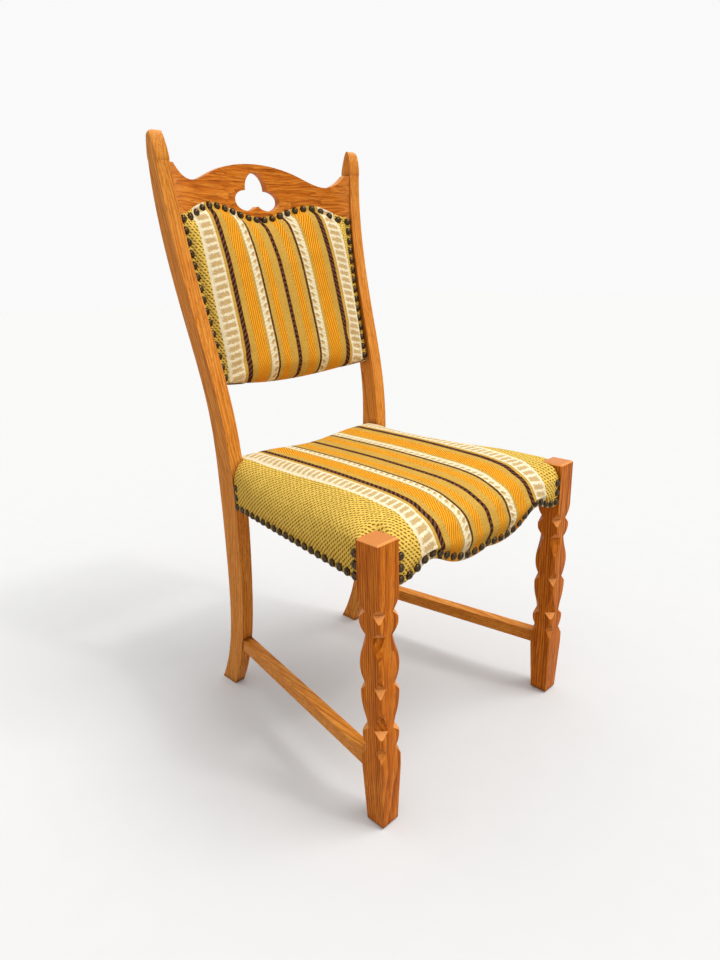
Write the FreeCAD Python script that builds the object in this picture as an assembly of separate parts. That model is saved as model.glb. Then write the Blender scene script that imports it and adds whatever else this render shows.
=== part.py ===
import FreeCAD, Part
import math
import os

from FreeCAD import Placement, Rotation, Vector

# Side chair: carved oak frame, stuffed-over seat and back, woven covers held by domed nails.
# Millimetres, +Z up, the front faces -Y, +X is to the right seen from the front.
# While it is built, Y is 0 at the front faces of the front legs. At the end the whole chair
# is moved so that the origin is the middle of its footprint on the floor.

# Overall sizes
front_width = 496.0          # over the outer faces of the front legs
seat_depth = 397.0           # front face of a front leg to the front face of a rear post
chair_height = 1003.5
joint_gap = 0.1              # glue line in each mortise
cloth_gap = 0.3              # between a soft piece and what it goes round

# Front legs: a square block on top, a carved length and a square foot. The carving is listed
# from the block down as (place, cut) for a straight slope and (middle place, middle cut, end
# place, end cut) for an arc. Places are shares of the carved length, cuts are off each corner.
leg_size = 40.0
leg_height = 460.0
leg_block_length = 74.0
leg_foot_height = 120.0
leg_top_chamfer = 2.5
foot_size = 32.0
foot_taper_height = 100.0
foot_chamfer = 3.0
face_cut_share = 0.07        # how deep the carving bites into a flat face, next to a corner
carving = [
    (0.0, 0.0),                       # the square block ends
    (0.06, 1.9, 0.11, 9.4),           # rounded shoulder into the first neck
    (0.15, 1.8),                      # slope out to the upper bead
    (0.20, 2.7, 0.243, 10.9),         # upper bead into the second neck
    (0.29, 8.6, 0.342, 4.8),          # hollow above the vase
    (0.444, 1.0, 0.541, 8.8),         # belly of the vase into the third neck
    (0.586, 1.2),                     # slope out to the shoulder
    (0.65, 2.0, 0.714, 5.3),          # shoulder
    (0.763, 8.8, 0.806, 10.9),        # hollow into the fourth neck
    (0.842, 2.4),                     # slope out to the lower bead
    (0.887, 2.7, 0.936, 8.0),         # lower bead into the fifth neck
    (1.0, 0.0),                       # slope out to the square foot
]

# Rear posts: half widths over the outer faces, and widths of the front face
post_half_foot = 178.6
post_half_seat = 192.4
post_half_top = 224.5
post_width_foot = 21.0
post_width_seat = 25.5
post_width_top = 23.5
post_seat_drop = 20.0        # level of the seat widths below the top of the front legs
# Sweep of the front face behind its place at the seat, and depth of the post, at shares of the
# height from the floor to the seat, and then from the seat to the straight part's end
post_leg_curve = [(0.0, 75.0, 41.5), (0.227, 36.0, 39.0), (0.568, 12.0, 41.0), (0.977, 0.0, 43.0)]
post_back_rows = [(0.231, 8.5, 36.5), (0.5, 42.5, 34.0), (0.788, 77.0, 32.0)]
post_top_sweep = 88.5
post_top_depth = 24.0
ear_height = 43.5            # the rounded tip above the straight part of the post
ear_corner = 9.0
ear_shoulder_rise = 0.6      # where the tip's shoulders are, as a share of its height
ear_shoulder_inset = 0.13    # and how far in they are, as a share of the post's depth there

# Seat frame
rail_thickness = 22.0
rail_drop = 30.0             # top of the rails below the top of the front legs
side_cover_drop = 65.0       # lower edge of the side cover below it
cover_setback = 3.0          # the cover stands this far behind the faces of the front legs
side_rear_setback = 1.9      # and this far inside the outer face of a rear post
rear_rail_setback = 9.0      # front face of the rear rail behind the front of the posts
cloth_thickness = 2.0
tenon_thickness = 8.0
tenon_height = 28.0
tenon_length = 16.0
short_tenon_length = 11.0
rear_tenon_setback = 2.0     # middle of the rear rail's tenon behind the middle of the rail
tenon_root = 4.0             # how far the solid of a tenon reaches back into its own rail
# Lower edge of the apron: half of it, from the middle out, as (share of the way to the leg,
# drop below the top of the front legs)
apron_edge = [(0.0, 82.5), (0.192, 87.0), (0.462, 75.0), (0.673, 57.5), (0.837, 68.5)]
apron_end_drop = 73.0

# Corner blocks
block_height = 30.0
block_front_near = 24.0      # from the leg to the block, along the front rail
block_front_far = 74.0
block_side_near = 24.0       # from the leg to the block, along the side rail
block_side_far = 70.0
screw_radius = 2.2
screw_head_radius = 4.2
screw_head_height = 2.6
screw_place = 0.35           # share of a block's length along the rail
screw_grip = 18.0            # wood of the block under a screw's head
screw_bite = 14.0            # length of screw in the rail
screw_gap = 0.15

# Stretchers
stretcher_top = 116.0
stretcher_height = 23.0
stretcher_width = 20.0
stretcher_front_setback = 6.0
stretcher_rear_setback = 2.0
stretcher_tenon = 14.0
stretcher_shoulder = 4.0     # step from a stretcher's faces down to its tenon

# Seat upholstery
strap_width = 50.0
strap_thickness = 1.5
long_strap_pitch = 70.0
long_strap_count = 4
cross_strap_pitch = 95.0
cross_strap_count = 3
strap_edge = 5.0             # a strap ends this far inside a rail's outer face
hessian_thickness = 1.0
hessian_edge = 8.0           # from the cover's face to the edge of the hessian
seat_crown = 22.0            # the crown's height above the top of the front legs
# The seat's rolled edge, from its straight sides up to the crown, as
# (inset of the sides and the rear, inset of the front, drop below the crown)
seat_roll = [
    (0.0, 0.0, 48.0),
    (0.8, 14.0, 34.0),
    (2.4, 32.0, 22.0),
    (6.0, 62.0, 13.0),
    (12.0, 100.0, 7.0),
    (22.0, 160.0, 2.5),
    (40.0, 230.0, 0.0),
]

# Back
back_bow = 42.0              # the back is hollow: its middle is this far behind its ends
back_bow_half = 192.0        # half the chord of that bow
crest_setback = 4.0
back_thickness = 14.0
crest_height = 120.0
crest_drop = 32.0            # top of the crest below the tips of the posts
crest_dip_drop = 35.0        # these three below the top of the crest
crest_flank_drop = 18.0
crest_shelf_drop = 13.0
crest_shelf_length = 9.0
crest_dip_inset = 41.0       # from the inner end of the shelf towards the middle
crest_flank_inset = 92.0
upper_lobe_width = 49.0
upper_lobe_height = 58.0
upper_lobe_drop = 42.5       # centre below the top of the crest
side_lobe_width = 53.0
side_lobe_height = 35.0
side_lobe_drop = 61.5
side_lobe_spread = 23.5      # centre of a side lobe from the middle
batten_width = 30.0
lower_rail_height = 33.0
back_tenon_length = 12.0
crest_tenon_inset = 30.0     # from the bottom of the crest to its tenons
crest_tenon_height = 50.0
lower_tenon_inset = 8.0      # from the bottom of the lower rail's ends to its tenons
lower_tenon_height = 19.0

# Back upholstery
back_edge_gap = 1.0          # between the cover's side and the post
back_rise = 150.0            # ends of the cover's lower edge above the top of the front legs
back_lower_bow = 18.0        # how far the middle of that edge is below its ends
back_corner_drop = 90.5      # the upper edge below the top of the crest, from its corners in
back_flat_drop = 88.5
back_hump_drop = 69.5
back_hollow_drop = 89.0
back_flat_inset = 20.0       # from the upper corners towards the middle
back_hump_inset = 64.5
back_crown = 28.0
back_pad_edge = 12.0

# Domed nails
nail_radius = 5.2
nail_dome = 3.2
nail_pitch = 18.0
nail_edge = 6.5              # nail centre from the edge of the cloth
nail_gap = 0.1               # under a nail's flat back on the bowed cloth
column_nails = 3             # nails up each side of the seat's corners
column_pitch = 17.0

# Values that follow from the sizes above
front_half = front_width / 2
leg_inner = front_half - leg_size
leg_axis = front_half - leg_size / 2
ear_base = chair_height - ear_height
post_seat_level = leg_height - post_seat_drop
side_cover_bottom = leg_height - side_cover_drop
seat_top = leg_height + seat_crown
rail_top = leg_height - rail_drop
rail_bottom = side_cover_bottom + cloth_thickness
rail_face_front = cover_setback + cloth_thickness
pad_base = rail_top + 2 * strap_thickness + hessian_thickness
rear_rail_front = seat_depth + rear_rail_setback
rear_rail_back = rear_rail_front + rail_thickness
rim_width = nail_edge + nail_radius + cloth_thickness + 2 * cloth_gap
bow_radius = (back_bow_half ** 2 + back_bow ** 2) / (2 * back_bow)
crest_top = chair_height - crest_drop
crest_bottom = crest_top - crest_height
crest_shelf_height = crest_top - crest_shelf_drop
crest_tenon_low = crest_bottom + crest_tenon_inset
crest_tenon_high = crest_tenon_low + crest_tenon_height
back_end_height = leg_height + back_rise
back_middle_height = back_end_height - back_lower_bow
back_corner_height = crest_top - back_corner_drop
back_hollow_height = crest_top - back_hollow_drop
lower_rail_top = back_end_height + lower_rail_height
lower_tenon_low = back_end_height + lower_tenon_inset
lower_tenon_high = lower_tenon_low + lower_tenon_height
FAR = 2 * chair_height


def spline(points):
    """Smooth curve through the points."""
    curve = Part.BSplineCurve()
    curve.interpolate(points)
    return curve


def arc(start, middle, end):
    return Part.Arc(start, middle, end).toShape()


def line(start, end):
    return Part.LineSegment(start, end).toShape()


def polygon_prism(points, low, high):
    """Upright prism over a polygon given as (x, y) pairs."""
    corners = [Vector(x, y, low) for x, y in points]
    wire = Part.makePolygon(corners + corners[:1])
    return Part.Face(wire).extrude(Vector(0, 0, high - low))


def front_prism(edges):
    """Prism through the whole depth over an outline drawn in the XZ plane at Y = 0."""
    face = Part.Face(Part.Wire(edges))
    face.translate(Vector(0, -FAR / 2, 0))
    return face.extrude(Vector(0, FAR, 0))


def box(x0, x1, y0, y1, z0, z1):
    return Part.makeBox(x1 - x0, y1 - y0, z1 - z0, Vector(x0, y0, z0))


def mirrored(shape):
    return shape.mirror(Vector(0, 0, 0), Vector(1, 0, 0))


# Rear posts

def post_points(share_of_depth):
    """Points up the post's side profile: share 0 is its front face, share 1 its back face."""
    back_length = ear_base - post_seat_level
    rows = [(share * post_seat_level, sweep, depth) for share, sweep, depth in post_leg_curve]
    rows += [(post_seat_level + share * back_length, sweep, depth) for share, sweep, depth in post_back_rows]
    rows.append((ear_base, post_top_sweep, post_top_depth))
    return [Vector(0, seat_depth + sweep + share_of_depth * depth, z) for z, sweep, depth in rows]


post_front_curve = spline(post_points(0))
post_back_curve = spline(post_points(1))
post_outer_curve = spline([
    Vector(post_half_foot, 0, 0),
    Vector(post_half_seat, 0, post_seat_level),
    Vector(post_half_top, 0, chair_height),
])
post_inner_curve = spline([
    Vector(post_half_foot - post_width_foot, 0, 0),
    Vector(post_half_seat - post_width_seat, 0, post_seat_level),
    Vector(post_half_top - post_width_top, 0, chair_height),
])


def at_height(curve, z):
    """Point of a rising curve at height z."""
    low = curve.FirstParameter
    high = curve.LastParameter
    for _ in range(50):
        middle = (low + high) / 2
        if curve.value(middle).z < z:
            low = middle
        else:
            high = middle
    return curve.value(low)


def post_front(z):
    return at_height(post_front_curve, min(z, ear_base)).y


def post_inner(z):
    return at_height(post_inner_curve, z).x


def post_outer(z):
    return at_height(post_outer_curve, z).x


def rear_post():
    """Right post before its mortises: side profile met by the front outline."""
    front_end = post_front_curve.EndPoint
    back_end = post_back_curve.EndPoint
    tip = Vector(0, (front_end.y + back_end.y) / 2, chair_height)
    shoulder_in = Vector(0, ear_shoulder_inset * post_top_depth, 0)
    shoulder_up = Vector(0, 0, ear_shoulder_rise * ear_height)
    ear = spline([
        front_end,
        front_end + shoulder_in + shoulder_up,
        tip,
        back_end - shoulder_in + shoulder_up,
        back_end,
    ])
    side = Part.Wire([
        post_front_curve.toShape(),
        ear.toShape(),
        post_back_curve.toShape(),
        line(post_back_curve.StartPoint, post_front_curve.StartPoint),
    ])
    profile = Part.Face(side).extrude(Vector(FAR, 0, 0))
    outer_top = at_height(post_outer_curve, chair_height - ear_corner)
    corner_end = Vector(post_half_top - ear_corner, 0, chair_height)
    corner_inset = ear_corner * (1 - math.sqrt(0.5))
    corner_middle = Vector(post_half_top - corner_inset, 0, chair_height - corner_inset)
    outer_points = [Vector(post_half_foot, 0, 0), Vector(post_half_seat, 0, post_seat_level), outer_top]
    outline = front_prism([
        spline(outer_points).toShape(),
        arc(outer_top, corner_middle, corner_end),
        line(corner_end, post_inner_curve.EndPoint),
        post_inner_curve.toShape(),
        line(post_inner_curve.StartPoint, outer_points[0]),
    ])
    return profile.common(outline)


# Front legs

def carving_cutter(reach, share):
    """What the carving takes off one side of a leg whose uncut side is at this reach from the axis."""
    edges = []
    block_end = leg_height - leg_block_length
    carved_length = block_end - leg_foot_height

    def point(place, cut):
        return Vector(reach - share * cut, 0, block_end - place * carved_length)

    start = point(*carving[0])
    first = start
    for stage in carving[1:]:
        end = point(*stage[-2:])
        if len(stage) == 4:
            edges.append(arc(start, point(*stage[:2]), end))
        else:
            edges.append(line(start, end))
        start = end
    clear_of_leg = Vector(leg_size / 2, 0, 0)
    edges.append(line(start, start + clear_of_leg))
    edges.append(line(start + clear_of_leg, first + clear_of_leg))
    edges.append(line(first + clear_of_leg, first))
    face = Part.Face(Part.Wire(edges))
    face.translate(Vector(0, -leg_size, 0))
    return face.extrude(Vector(0, 2 * leg_size, 0))


def square_wire(size, z):
    half = size / 2
    corners = [Vector(x, y, z) for x, y in ((-half, -half), (half, -half), (half, half), (-half, half))]
    return Part.makePolygon(corners + corners[:1])


def edges_at(shape, z):
    return [edge for edge in shape.Edges if all(abs(v.Z - z) < 0.01 for v in edge.Vertexes)]


def front_leg():
    """Right leg before its mortises."""
    half = leg_size / 2
    block = box(-half, half, -half, half, foot_taper_height, leg_height)
    block = block.makeChamfer(leg_top_chamfer, edges_at(block, leg_height))
    foot = Part.makeLoft([square_wire(foot_size, 0), square_wire(leg_size, foot_taper_height)], True, True)
    foot = foot.makeChamfer(foot_chamfer, edges_at(foot, 0))
    leg = block.fuse(foot).removeSplitter()
    corner_cut = carving_cutter(half * math.sqrt(2), 1.0)
    face_cut = carving_cutter(half, face_cut_share)
    axis = Vector(0, 0, 1)
    cutters = []
    for quarter in range(4):
        cutters.append(corner_cut.copy().rotate(Vector(0, 0, 0), axis, 90 * quarter + 45))
        cutters.append(face_cut.copy().rotate(Vector(0, 0, 0), axis, 90 * quarter))
    leg = leg.cut(cutters)
    leg.translate(Vector(leg_axis, half, 0))
    return leg


# Seat frame: every rail is made on the right or across the middle

side_front_x = front_half - cover_setback
side_rear_x = post_outer(rail_top) - side_rear_setback
side_slope = (side_front_x - side_rear_x) / (seat_depth - leg_size)
side_stretch = math.sqrt(1 + side_slope ** 2)


def side_x(y, inset):
    """Place of a line along the seat's right side, set in from the cover's face."""
    return side_front_x - side_slope * (y - leg_size) - inset * side_stretch


def seat_outline(inset, front_inset):
    """Plan of the seat cover, notched round the legs and posts, with its sides and front moved in."""
    seat_front = cover_setback + front_inset
    leg_side = leg_inner - cloth_gap - inset
    leg_back = max(leg_size + cloth_gap + inset, seat_front + cloth_gap)
    posts_front = post_front(rail_top) - cloth_gap - inset
    post_side = post_inner(side_cover_bottom) - cloth_gap - inset
    seat_rear = rear_rail_back + cloth_thickness - inset
    right = [
        (leg_side, seat_front),
        (leg_side, leg_back),
        (side_x(leg_back, inset), leg_back),
        (side_x(posts_front, inset), posts_front),
        (post_side, posts_front),
        (post_side, seat_rear),
    ]
    return right + [(-x, y) for x, y in reversed(right)]


def seat_body(inset, lower, bottom):
    """Solid inside the seat's cover: straight sides up from the bottom, then the rolled edge."""
    sections = []
    for side_inset, front_inset, drop in seat_roll:
        z = seat_top - lower - drop
        corners = [Vector(x, y, z) for x, y in seat_outline(inset + side_inset, inset + front_inset)]
        sections.append(Part.makePolygon(corners + corners[:1]))
    crown = Part.makeLoft(sections, True, True)
    roll_start = seat_top - lower - seat_roll[0][-1]
    return crown.fuse(polygon_prism(seat_outline(inset, inset), bottom, roll_start)).removeSplitter()


def apron_curve(lift, end_inset):
    """Right half of the apron's lower edge, raised, from the middle to a place beside the leg."""
    rows = apron_edge + [(1.0, apron_end_drop)]
    reach = leg_inner - end_inset
    return spline([Vector(share * reach, 0, leg_height - drop + lift) for share, drop in rows])


def below_apron(lift):
    """Prism of everything under the apron's edge, between the legs."""
    curve = apron_curve(lift, 0)
    middle = curve.StartPoint
    end = curve.EndPoint
    floor_end = Vector(leg_inner, 0, 0)
    floor_middle = Vector(0, 0, 0)
    right = front_prism([
        curve.toShape(),
        line(end, floor_end),
        line(floor_end, floor_middle),
        line(floor_middle, middle),
    ])
    return right.fuse(mirrored(right))


def tenon(x0, x1, y0, y1, z_middle, height, grow):
    """Upright rectangular tenon, or with grow its mortise."""
    half = height / 2
    return box(x0 - grow, x1 + grow, y0 - grow, y1 + grow, z_middle - half - grow, z_middle + half + grow)


rail_middle = (rail_bottom + rail_top) / 2


def front_rail_tenon(grow):
    middle_y = rail_face_front + rail_thickness / 2
    half = tenon_thickness / 2
    return tenon(leg_inner, leg_inner + tenon_length, middle_y - half, middle_y + half,
                 rail_middle, tenon_height, grow)


def rear_rail_tenon(grow):
    middle_y = (rear_rail_front + rear_rail_back) / 2 + rear_tenon_setback
    half = tenon_thickness / 2
    inner = post_inner(rail_bottom)
    return tenon(inner, inner + tenon_length, middle_y - half, middle_y + half,
                 rail_middle, tenon_height, grow)


def side_bar(y0, y1, inset0, inset1, low, high):
    """Bar along the seat's right side between two insets from the cover's face."""
    return polygon_prism([
        (side_x(y0, inset0), y0), (side_x(y0, inset1), y0),
        (side_x(y1, inset1), y1), (side_x(y1, inset0), y1),
    ], low, high)


def side_rail_tenons(grow):
    """Tenons at both ends of the right side rail."""
    middle = cloth_thickness + rail_thickness / 2
    half = tenon_thickness / 2 + grow
    low = rail_middle - tenon_height / 2 - grow
    high = rail_middle + tenon_height / 2 + grow
    into_leg = leg_size - tenon_length - grow
    into_post = post_front(rail_middle) + short_tenon_length + grow
    ends = [(into_leg, leg_size + tenon_root), (post_front(rail_middle) - tenon_root, into_post)]
    return [side_bar(y0, y1, middle - half, middle + half, low, high) for y0, y1 in ends]


def front_rail():
    bar = box(-leg_inner, leg_inner, rail_face_front, rail_face_front + rail_thickness, 0, rail_top)
    bar = bar.cut(below_apron(cloth_thickness))
    ends = front_rail_tenon(0)
    return bar.fuse([ends, mirrored(ends)]).removeSplitter()


def rear_rail(posts):
    reach = post_half_seat
    bar = box(-reach, reach, rear_rail_front, rear_rail_back, rail_bottom, rail_top)
    bar = bar.cut(posts)
    bar = max(bar.Solids, key=lambda solid: solid.Volume)
    ends = rear_rail_tenon(0)
    return bar.fuse([ends, mirrored(ends)]).removeSplitter()


def side_rail(post):
    end = post_front(rail_middle) - joint_gap
    bar = side_bar(leg_size, end, cloth_thickness, cloth_thickness + rail_thickness, rail_bottom, rail_top)
    return bar.cut(post).fuse(side_rail_tenons(0)).removeSplitter()


# Stretchers

stretcher_front_x = front_half - stretcher_front_setback
stretcher_middle = stretcher_top - stretcher_height / 2
stretcher_rear_y = post_front(stretcher_middle)
stretcher_rear_x = post_outer(stretcher_middle) - stretcher_rear_setback
stretcher_slope = (stretcher_front_x - stretcher_rear_x) / (stretcher_rear_y - leg_size)


def stretcher_bar(y0, y1, inset, grow):
    """Length of the right stretcher, thinned by the inset on all four sides."""
    low = stretcher_top - stretcher_height + inset - grow
    outer0 = stretcher_front_x - stretcher_slope * (y0 - leg_size) - inset + grow
    outer1 = stretcher_front_x - stretcher_slope * (y1 - leg_size) - inset + grow
    width = stretcher_width - 2 * inset + 2 * grow
    height = stretcher_height - 2 * inset + 2 * grow
    return polygon_prism([(outer0, y0), (outer0 - width, y0), (outer1 - width, y1), (outer1, y1)],
                         low, low + height)


def stretcher_tenons(grow):
    into_leg = leg_size - stretcher_tenon - grow
    into_post = stretcher_rear_y + stretcher_tenon + grow
    return [
        stretcher_bar(into_leg, leg_size + tenon_root, stretcher_shoulder, grow),
        stretcher_bar(stretcher_rear_y - tenon_root, into_post, stretcher_shoulder, grow),
    ]


def stretcher(leg, post):
    leg_face = leg_size / 2
    bar = stretcher_bar(leg_face, stretcher_rear_y + stretcher_tenon, 0, 0).cut([leg, post])
    bar = max(bar.Solids, key=lambda solid: solid.Volume)
    return bar.fuse(stretcher_tenons(0)).removeSplitter()


# Corner blocks and their screws

rail_inner_inset = cloth_thickness + rail_thickness
block_low = rail_middle - block_height / 2


def front_block_plan():
    """Plan of the right front block, from the front rail round to the side rail."""
    y_rail = rail_face_front + rail_thickness
    near = leg_size + block_side_near
    far = leg_size + block_side_far
    return [
        (leg_inner - block_front_near, y_rail),
        (side_x(near, rail_inner_inset), near),
        (side_x(far, rail_inner_inset), far),
        (leg_inner - block_front_far, y_rail),
    ]


def rear_block_plan():
    """Plan of the right rear block, from the side rail round to the rear rail."""
    inner = post_inner(rail_bottom)
    near = seat_depth - block_side_near
    far = seat_depth - block_side_far
    return [
        (inner - block_front_far, rear_rail_front),
        (side_x(far, rail_inner_inset), far),
        (side_x(near, rail_inner_inset), near),
        (inner - block_front_near, rear_rail_front),
    ]


def screw_spots(plan):
    """Seat and direction of each screw: one square to each of the two rails of a block."""
    spots = []
    for rail_near, rail_far, inner_end in ((plan[0], plan[3], plan[2]), (plan[1], plan[2], plan[3])):
        near = Vector(rail_near[0], rail_near[1], rail_middle)
        far = Vector(rail_far[0], rail_far[1], rail_middle)
        other = Vector(inner_end[0], inner_end[1], rail_middle)
        along = (far - near).normalize()
        into = Vector(-along.y, along.x, 0)
        if into.dot(near - other) < 0:
            into = -into
        on_rail = near + (far - near) * screw_place
        spots.append((on_rail - into * screw_grip, into))
    return spots


def screw(seat, into, grow):
    """Screw with its head on the seat, or with grow its hole with a pocket over the head."""
    head_length = block_side_far if grow else screw_head_height
    head = Part.makeCylinder(screw_head_radius + grow, head_length, seat, -into)
    shank = Part.makeCylinder(screw_radius + grow, screw_grip + screw_bite + grow, seat, into)
    return head.fuse(shank).removeSplitter()


# Back frame and back upholstery: layers of one bowed and swept slab

def bow(x):
    """How far the bow sets the back behind its ends."""
    return math.sqrt(bow_radius ** 2 - x ** 2) - bow_radius + back_bow


def back_face(x, z, offset):
    """Point at this offset behind the front of the crest rail."""
    return Vector(x, post_front(z) + crest_setback + bow(x) + offset, z)


def bowed_arc(half, z, offset, crown):
    """Level arc across the back, with its middle brought forward by the crown."""
    middle = back_face(0, z, offset) - Vector(0, crown, 0)
    return arc(back_face(-half, z, offset), middle, back_face(half, z, offset))


def back_section(half, z, front, crown, rear):
    front_arc = bowed_arc(half, z, front, crown)
    rear_arc = bowed_arc(half, z, rear, 0)
    ends = [line(back_face(side * half, z, front), back_face(side * half, z, rear)) for side in (-1, 1)]
    return Part.Wire(Part.sortEdges([front_arc, ends[0], rear_arc, ends[1]])[0])


slab_margin = 10.0           # how far the uncut slab reaches past what is cut from it
slab_half = post_half_top + slab_margin
slab_low = back_middle_height - slab_margin
slab_high = crest_top + slab_margin
slab_levels = 9


def back_layer(front, rear, edges):
    """Layer of the back between two offsets, cut to an outline drawn in the XZ plane."""
    step = (slab_high - slab_low) / (slab_levels - 1)
    levels = [slab_low + step * i for i in range(slab_levels)]
    slab = Part.makeLoft([back_section(slab_half, z, front, 0, rear) for z in levels], True, False)
    return slab.common(front_prism(edges))


def panel_side(z, inset):
    """Half width of the back cover at a height."""
    return post_inner(z) - back_edge_gap - inset


def panel_wave(inset):
    """Upper edge of the back cover from its left corner to its right one, moved down by the inset."""
    side = panel_side(back_corner_height, 0)
    corner = Vector(panel_side(back_corner_height, inset), 0, back_corner_height - inset)
    flat = Vector(side - back_flat_inset, 0, crest_top - back_flat_drop - inset)
    hump = Vector(side - back_hump_inset, 0, crest_top - back_hump_drop - inset)
    hollow = Vector(0, 0, back_hollow_height - inset)
    return spline([mirrored_point(p) for p in (corner, flat, hump)] + [hollow, hump, flat, corner])


def panel_outline(inset):
    """Closed outline of the back cover, moved in on every side."""
    wave = panel_wave(inset)
    corner = wave.EndPoint
    low_end = Vector(panel_side(back_end_height, inset), 0, back_end_height + inset)
    low_middle = Vector(0, 0, back_middle_height + inset)
    return [
        wave.toShape(),
        line(corner, low_end),
        arc(low_end, low_middle, mirrored_point(low_end)),
        line(mirrored_point(low_end), mirrored_point(corner)),
    ]


def mirrored_point(point):
    return Vector(-point.x, point.y, point.z)


def rectangle(x0, x1, z0, z1):
    corners = [Vector(x0, 0, z0), Vector(x1, 0, z0), Vector(x1, 0, z1), Vector(x0, 0, z1)]
    return [line(a, b) for a, b in zip(corners, corners[1:] + corners[:1])]


def crest_outline():
    """Closed outline of the crest rail, reaching into the posts at both ends."""
    top = Vector(0, 0, crest_top)
    shelf = Vector(post_inner(crest_shelf_height) - crest_shelf_length, 0, crest_shelf_height)
    dip = Vector(shelf.x - crest_dip_inset, 0, crest_top - crest_dip_drop)
    flank = Vector(shelf.x - crest_flank_inset, 0, crest_top - crest_flank_drop)
    reach = Vector(post_outer(crest_shelf_height), 0, crest_shelf_height)
    low = Vector(reach.x, 0, crest_bottom)
    wave = [mirrored_point(p) for p in (shelf, dip, flank)] + [top, flank, dip, shelf]
    return [
        spline(wave).toShape(),
        line(shelf, reach),
        line(reach, low),
        line(low, mirrored_point(low)),
        line(mirrored_point(low), mirrored_point(reach)),
        line(mirrored_point(reach), mirrored_point(shelf)),
    ]


def lobe(x, z, width, height):
    centre = Vector(x, 0, z)
    side = centre + Vector(width / 2, 0, 0)
    top = centre + Vector(0, 0, height / 2)
    if width == height:
        outline = Part.Circle(centre, Vector(0, 1, 0), width / 2)
    elif width > height:
        outline = Part.Ellipse(side, top, centre)
    else:
        outline = Part.Ellipse(top, side, centre)
    return front_prism([outline.toShape()])


def trefoil():
    """Three overlapping lobes through the crest."""
    upper = lobe(0, crest_top - upper_lobe_drop, upper_lobe_width, upper_lobe_height)
    right = lobe(side_lobe_spread, crest_top - side_lobe_drop, side_lobe_width, side_lobe_height)
    return upper.fuse([right, mirrored(right)])


def back_tenon(low, high, grow):
    """Right tenon of a bowed rail, or with grow its mortise."""
    quarter = back_thickness / 4
    start = post_inner(low)
    edges = rectangle(start - tenon_root, start + back_tenon_length + grow, low - grow, high + grow)
    return back_layer(quarter - grow, back_thickness - quarter + grow, edges)


def with_tenons(rail, low, high):
    right = back_tenon(low, high, 0)
    return rail.fuse([right, mirrored(right)]).removeSplitter()


def inside_posts(shape, posts):
    """The stretch of a bowed rail between the posts."""
    return max(shape.cut(posts).Solids, key=lambda solid: solid.Volume)


def crest_rail(posts):
    board = back_layer(0, back_thickness, crest_outline())
    board = inside_posts(board, posts).cut(trefoil())
    return with_tenons(board, crest_tenon_low, crest_tenon_high)


def lower_rail_outline():
    """Lower back rail: straight on top, rounded down below, clear of the cloth under it."""
    reach = post_outer(back_end_height)
    end = Vector(reach, 0, back_end_height + cloth_thickness)
    middle = Vector(0, 0, back_middle_height + cloth_thickness)
    top = Vector(reach, 0, lower_rail_top)
    return [
        arc(mirrored_point(end), middle, end),
        line(end, top),
        line(top, mirrored_point(top)),
        line(mirrored_point(top), mirrored_point(end)),
    ]


def lower_back_rail(posts):
    board = back_layer(0, back_thickness, lower_rail_outline())
    board = inside_posts(board, posts).cut(cloth_under_rail())
    return with_tenons(board, lower_tenon_low, lower_tenon_high)


def back_batten(post):
    """Right batten beside the post, between the two back rails."""
    low_x = post_inner(lower_rail_top)
    high_x = post_inner(crest_bottom)
    corners = [
        Vector(low_x - batten_width, 0, lower_rail_top),
        Vector(slab_half, 0, lower_rail_top),
        Vector(slab_half, 0, crest_bottom),
        Vector(high_x - batten_width, 0, crest_bottom),
    ]
    edges = [line(a, b) for a, b in zip(corners, corners[1:] + corners[:1])]
    pieces = back_layer(0, back_thickness, edges).cut(post)
    return min(pieces.Solids, key=lambda solid: solid.CenterOfMass.x)


def stuffed_body(grow, rear):
    """Crowned solid over the stuffed part of the back, grown on its sides and front."""
    low = back_end_height + rim_width - grow
    high = back_hollow_height - rim_width + grow
    sections = []
    for i in range(slab_levels):
        rise = 2 * i / (slab_levels - 1) - 1
        z = (low + high) / 2 + rise * (high - low) / 2
        half = panel_side(z, rim_width - grow)
        front = -hessian_thickness - back_pad_edge - grow
        crown = back_crown * (1 - rise ** 4)
        sections.append(back_section(half, z, front, crown, rear))
    return Part.makeLoft(sections, True, False)


def cloth_under_rail():
    """Strip of the back cover that is folded under the lower rail."""
    whole = back_layer(0, back_thickness, panel_outline(0))
    inner = front_prism(panel_outline(cloth_thickness))
    above = box(-FAR, FAR, -FAR, FAR, back_end_height + cloth_thickness, FAR)
    return whole.cut([inner, above])


def back_cover():
    """Nailed border, crowned front and folded lower edge, in one piece of cloth."""
    border = back_layer(-cloth_thickness, 0, panel_outline(0))
    crowned = stuffed_body(cloth_thickness + cloth_gap, -cloth_gap)
    cavity = stuffed_body(cloth_gap, cloth_thickness)
    sheet = border.fuse([crowned, cloth_under_rail()]).removeSplitter()
    return sheet.cut(cavity)


def back_hessian():
    low = back_end_height + rim_width
    high = back_hollow_height - rim_width
    inset = rim_width + cloth_gap
    corners = [
        Vector(panel_side(low, inset), 0, low),
        Vector(panel_side(high, inset), 0, high),
        Vector(-panel_side(high, inset), 0, high),
        Vector(-panel_side(low, inset), 0, low),
    ]
    edges = [line(a, b) for a, b in zip(corners, corners[1:] + corners[:1])]
    return back_layer(-hessian_thickness, 0, edges)


# Domed nails

def nail(spot, outward):
    """Domed head with its flat back on the spot."""
    sphere_radius = (nail_radius ** 2 + nail_dome ** 2) / (2 * nail_dome)
    ball = Part.makeSphere(sphere_radius, Vector(0, 0, nail_dome - sphere_radius))
    head = ball.common(box(-FAR, FAR, -FAR, FAR, 0, FAR))
    head.Placement = Placement(spot, Rotation(Vector(0, 0, 1), outward))
    return head


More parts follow.
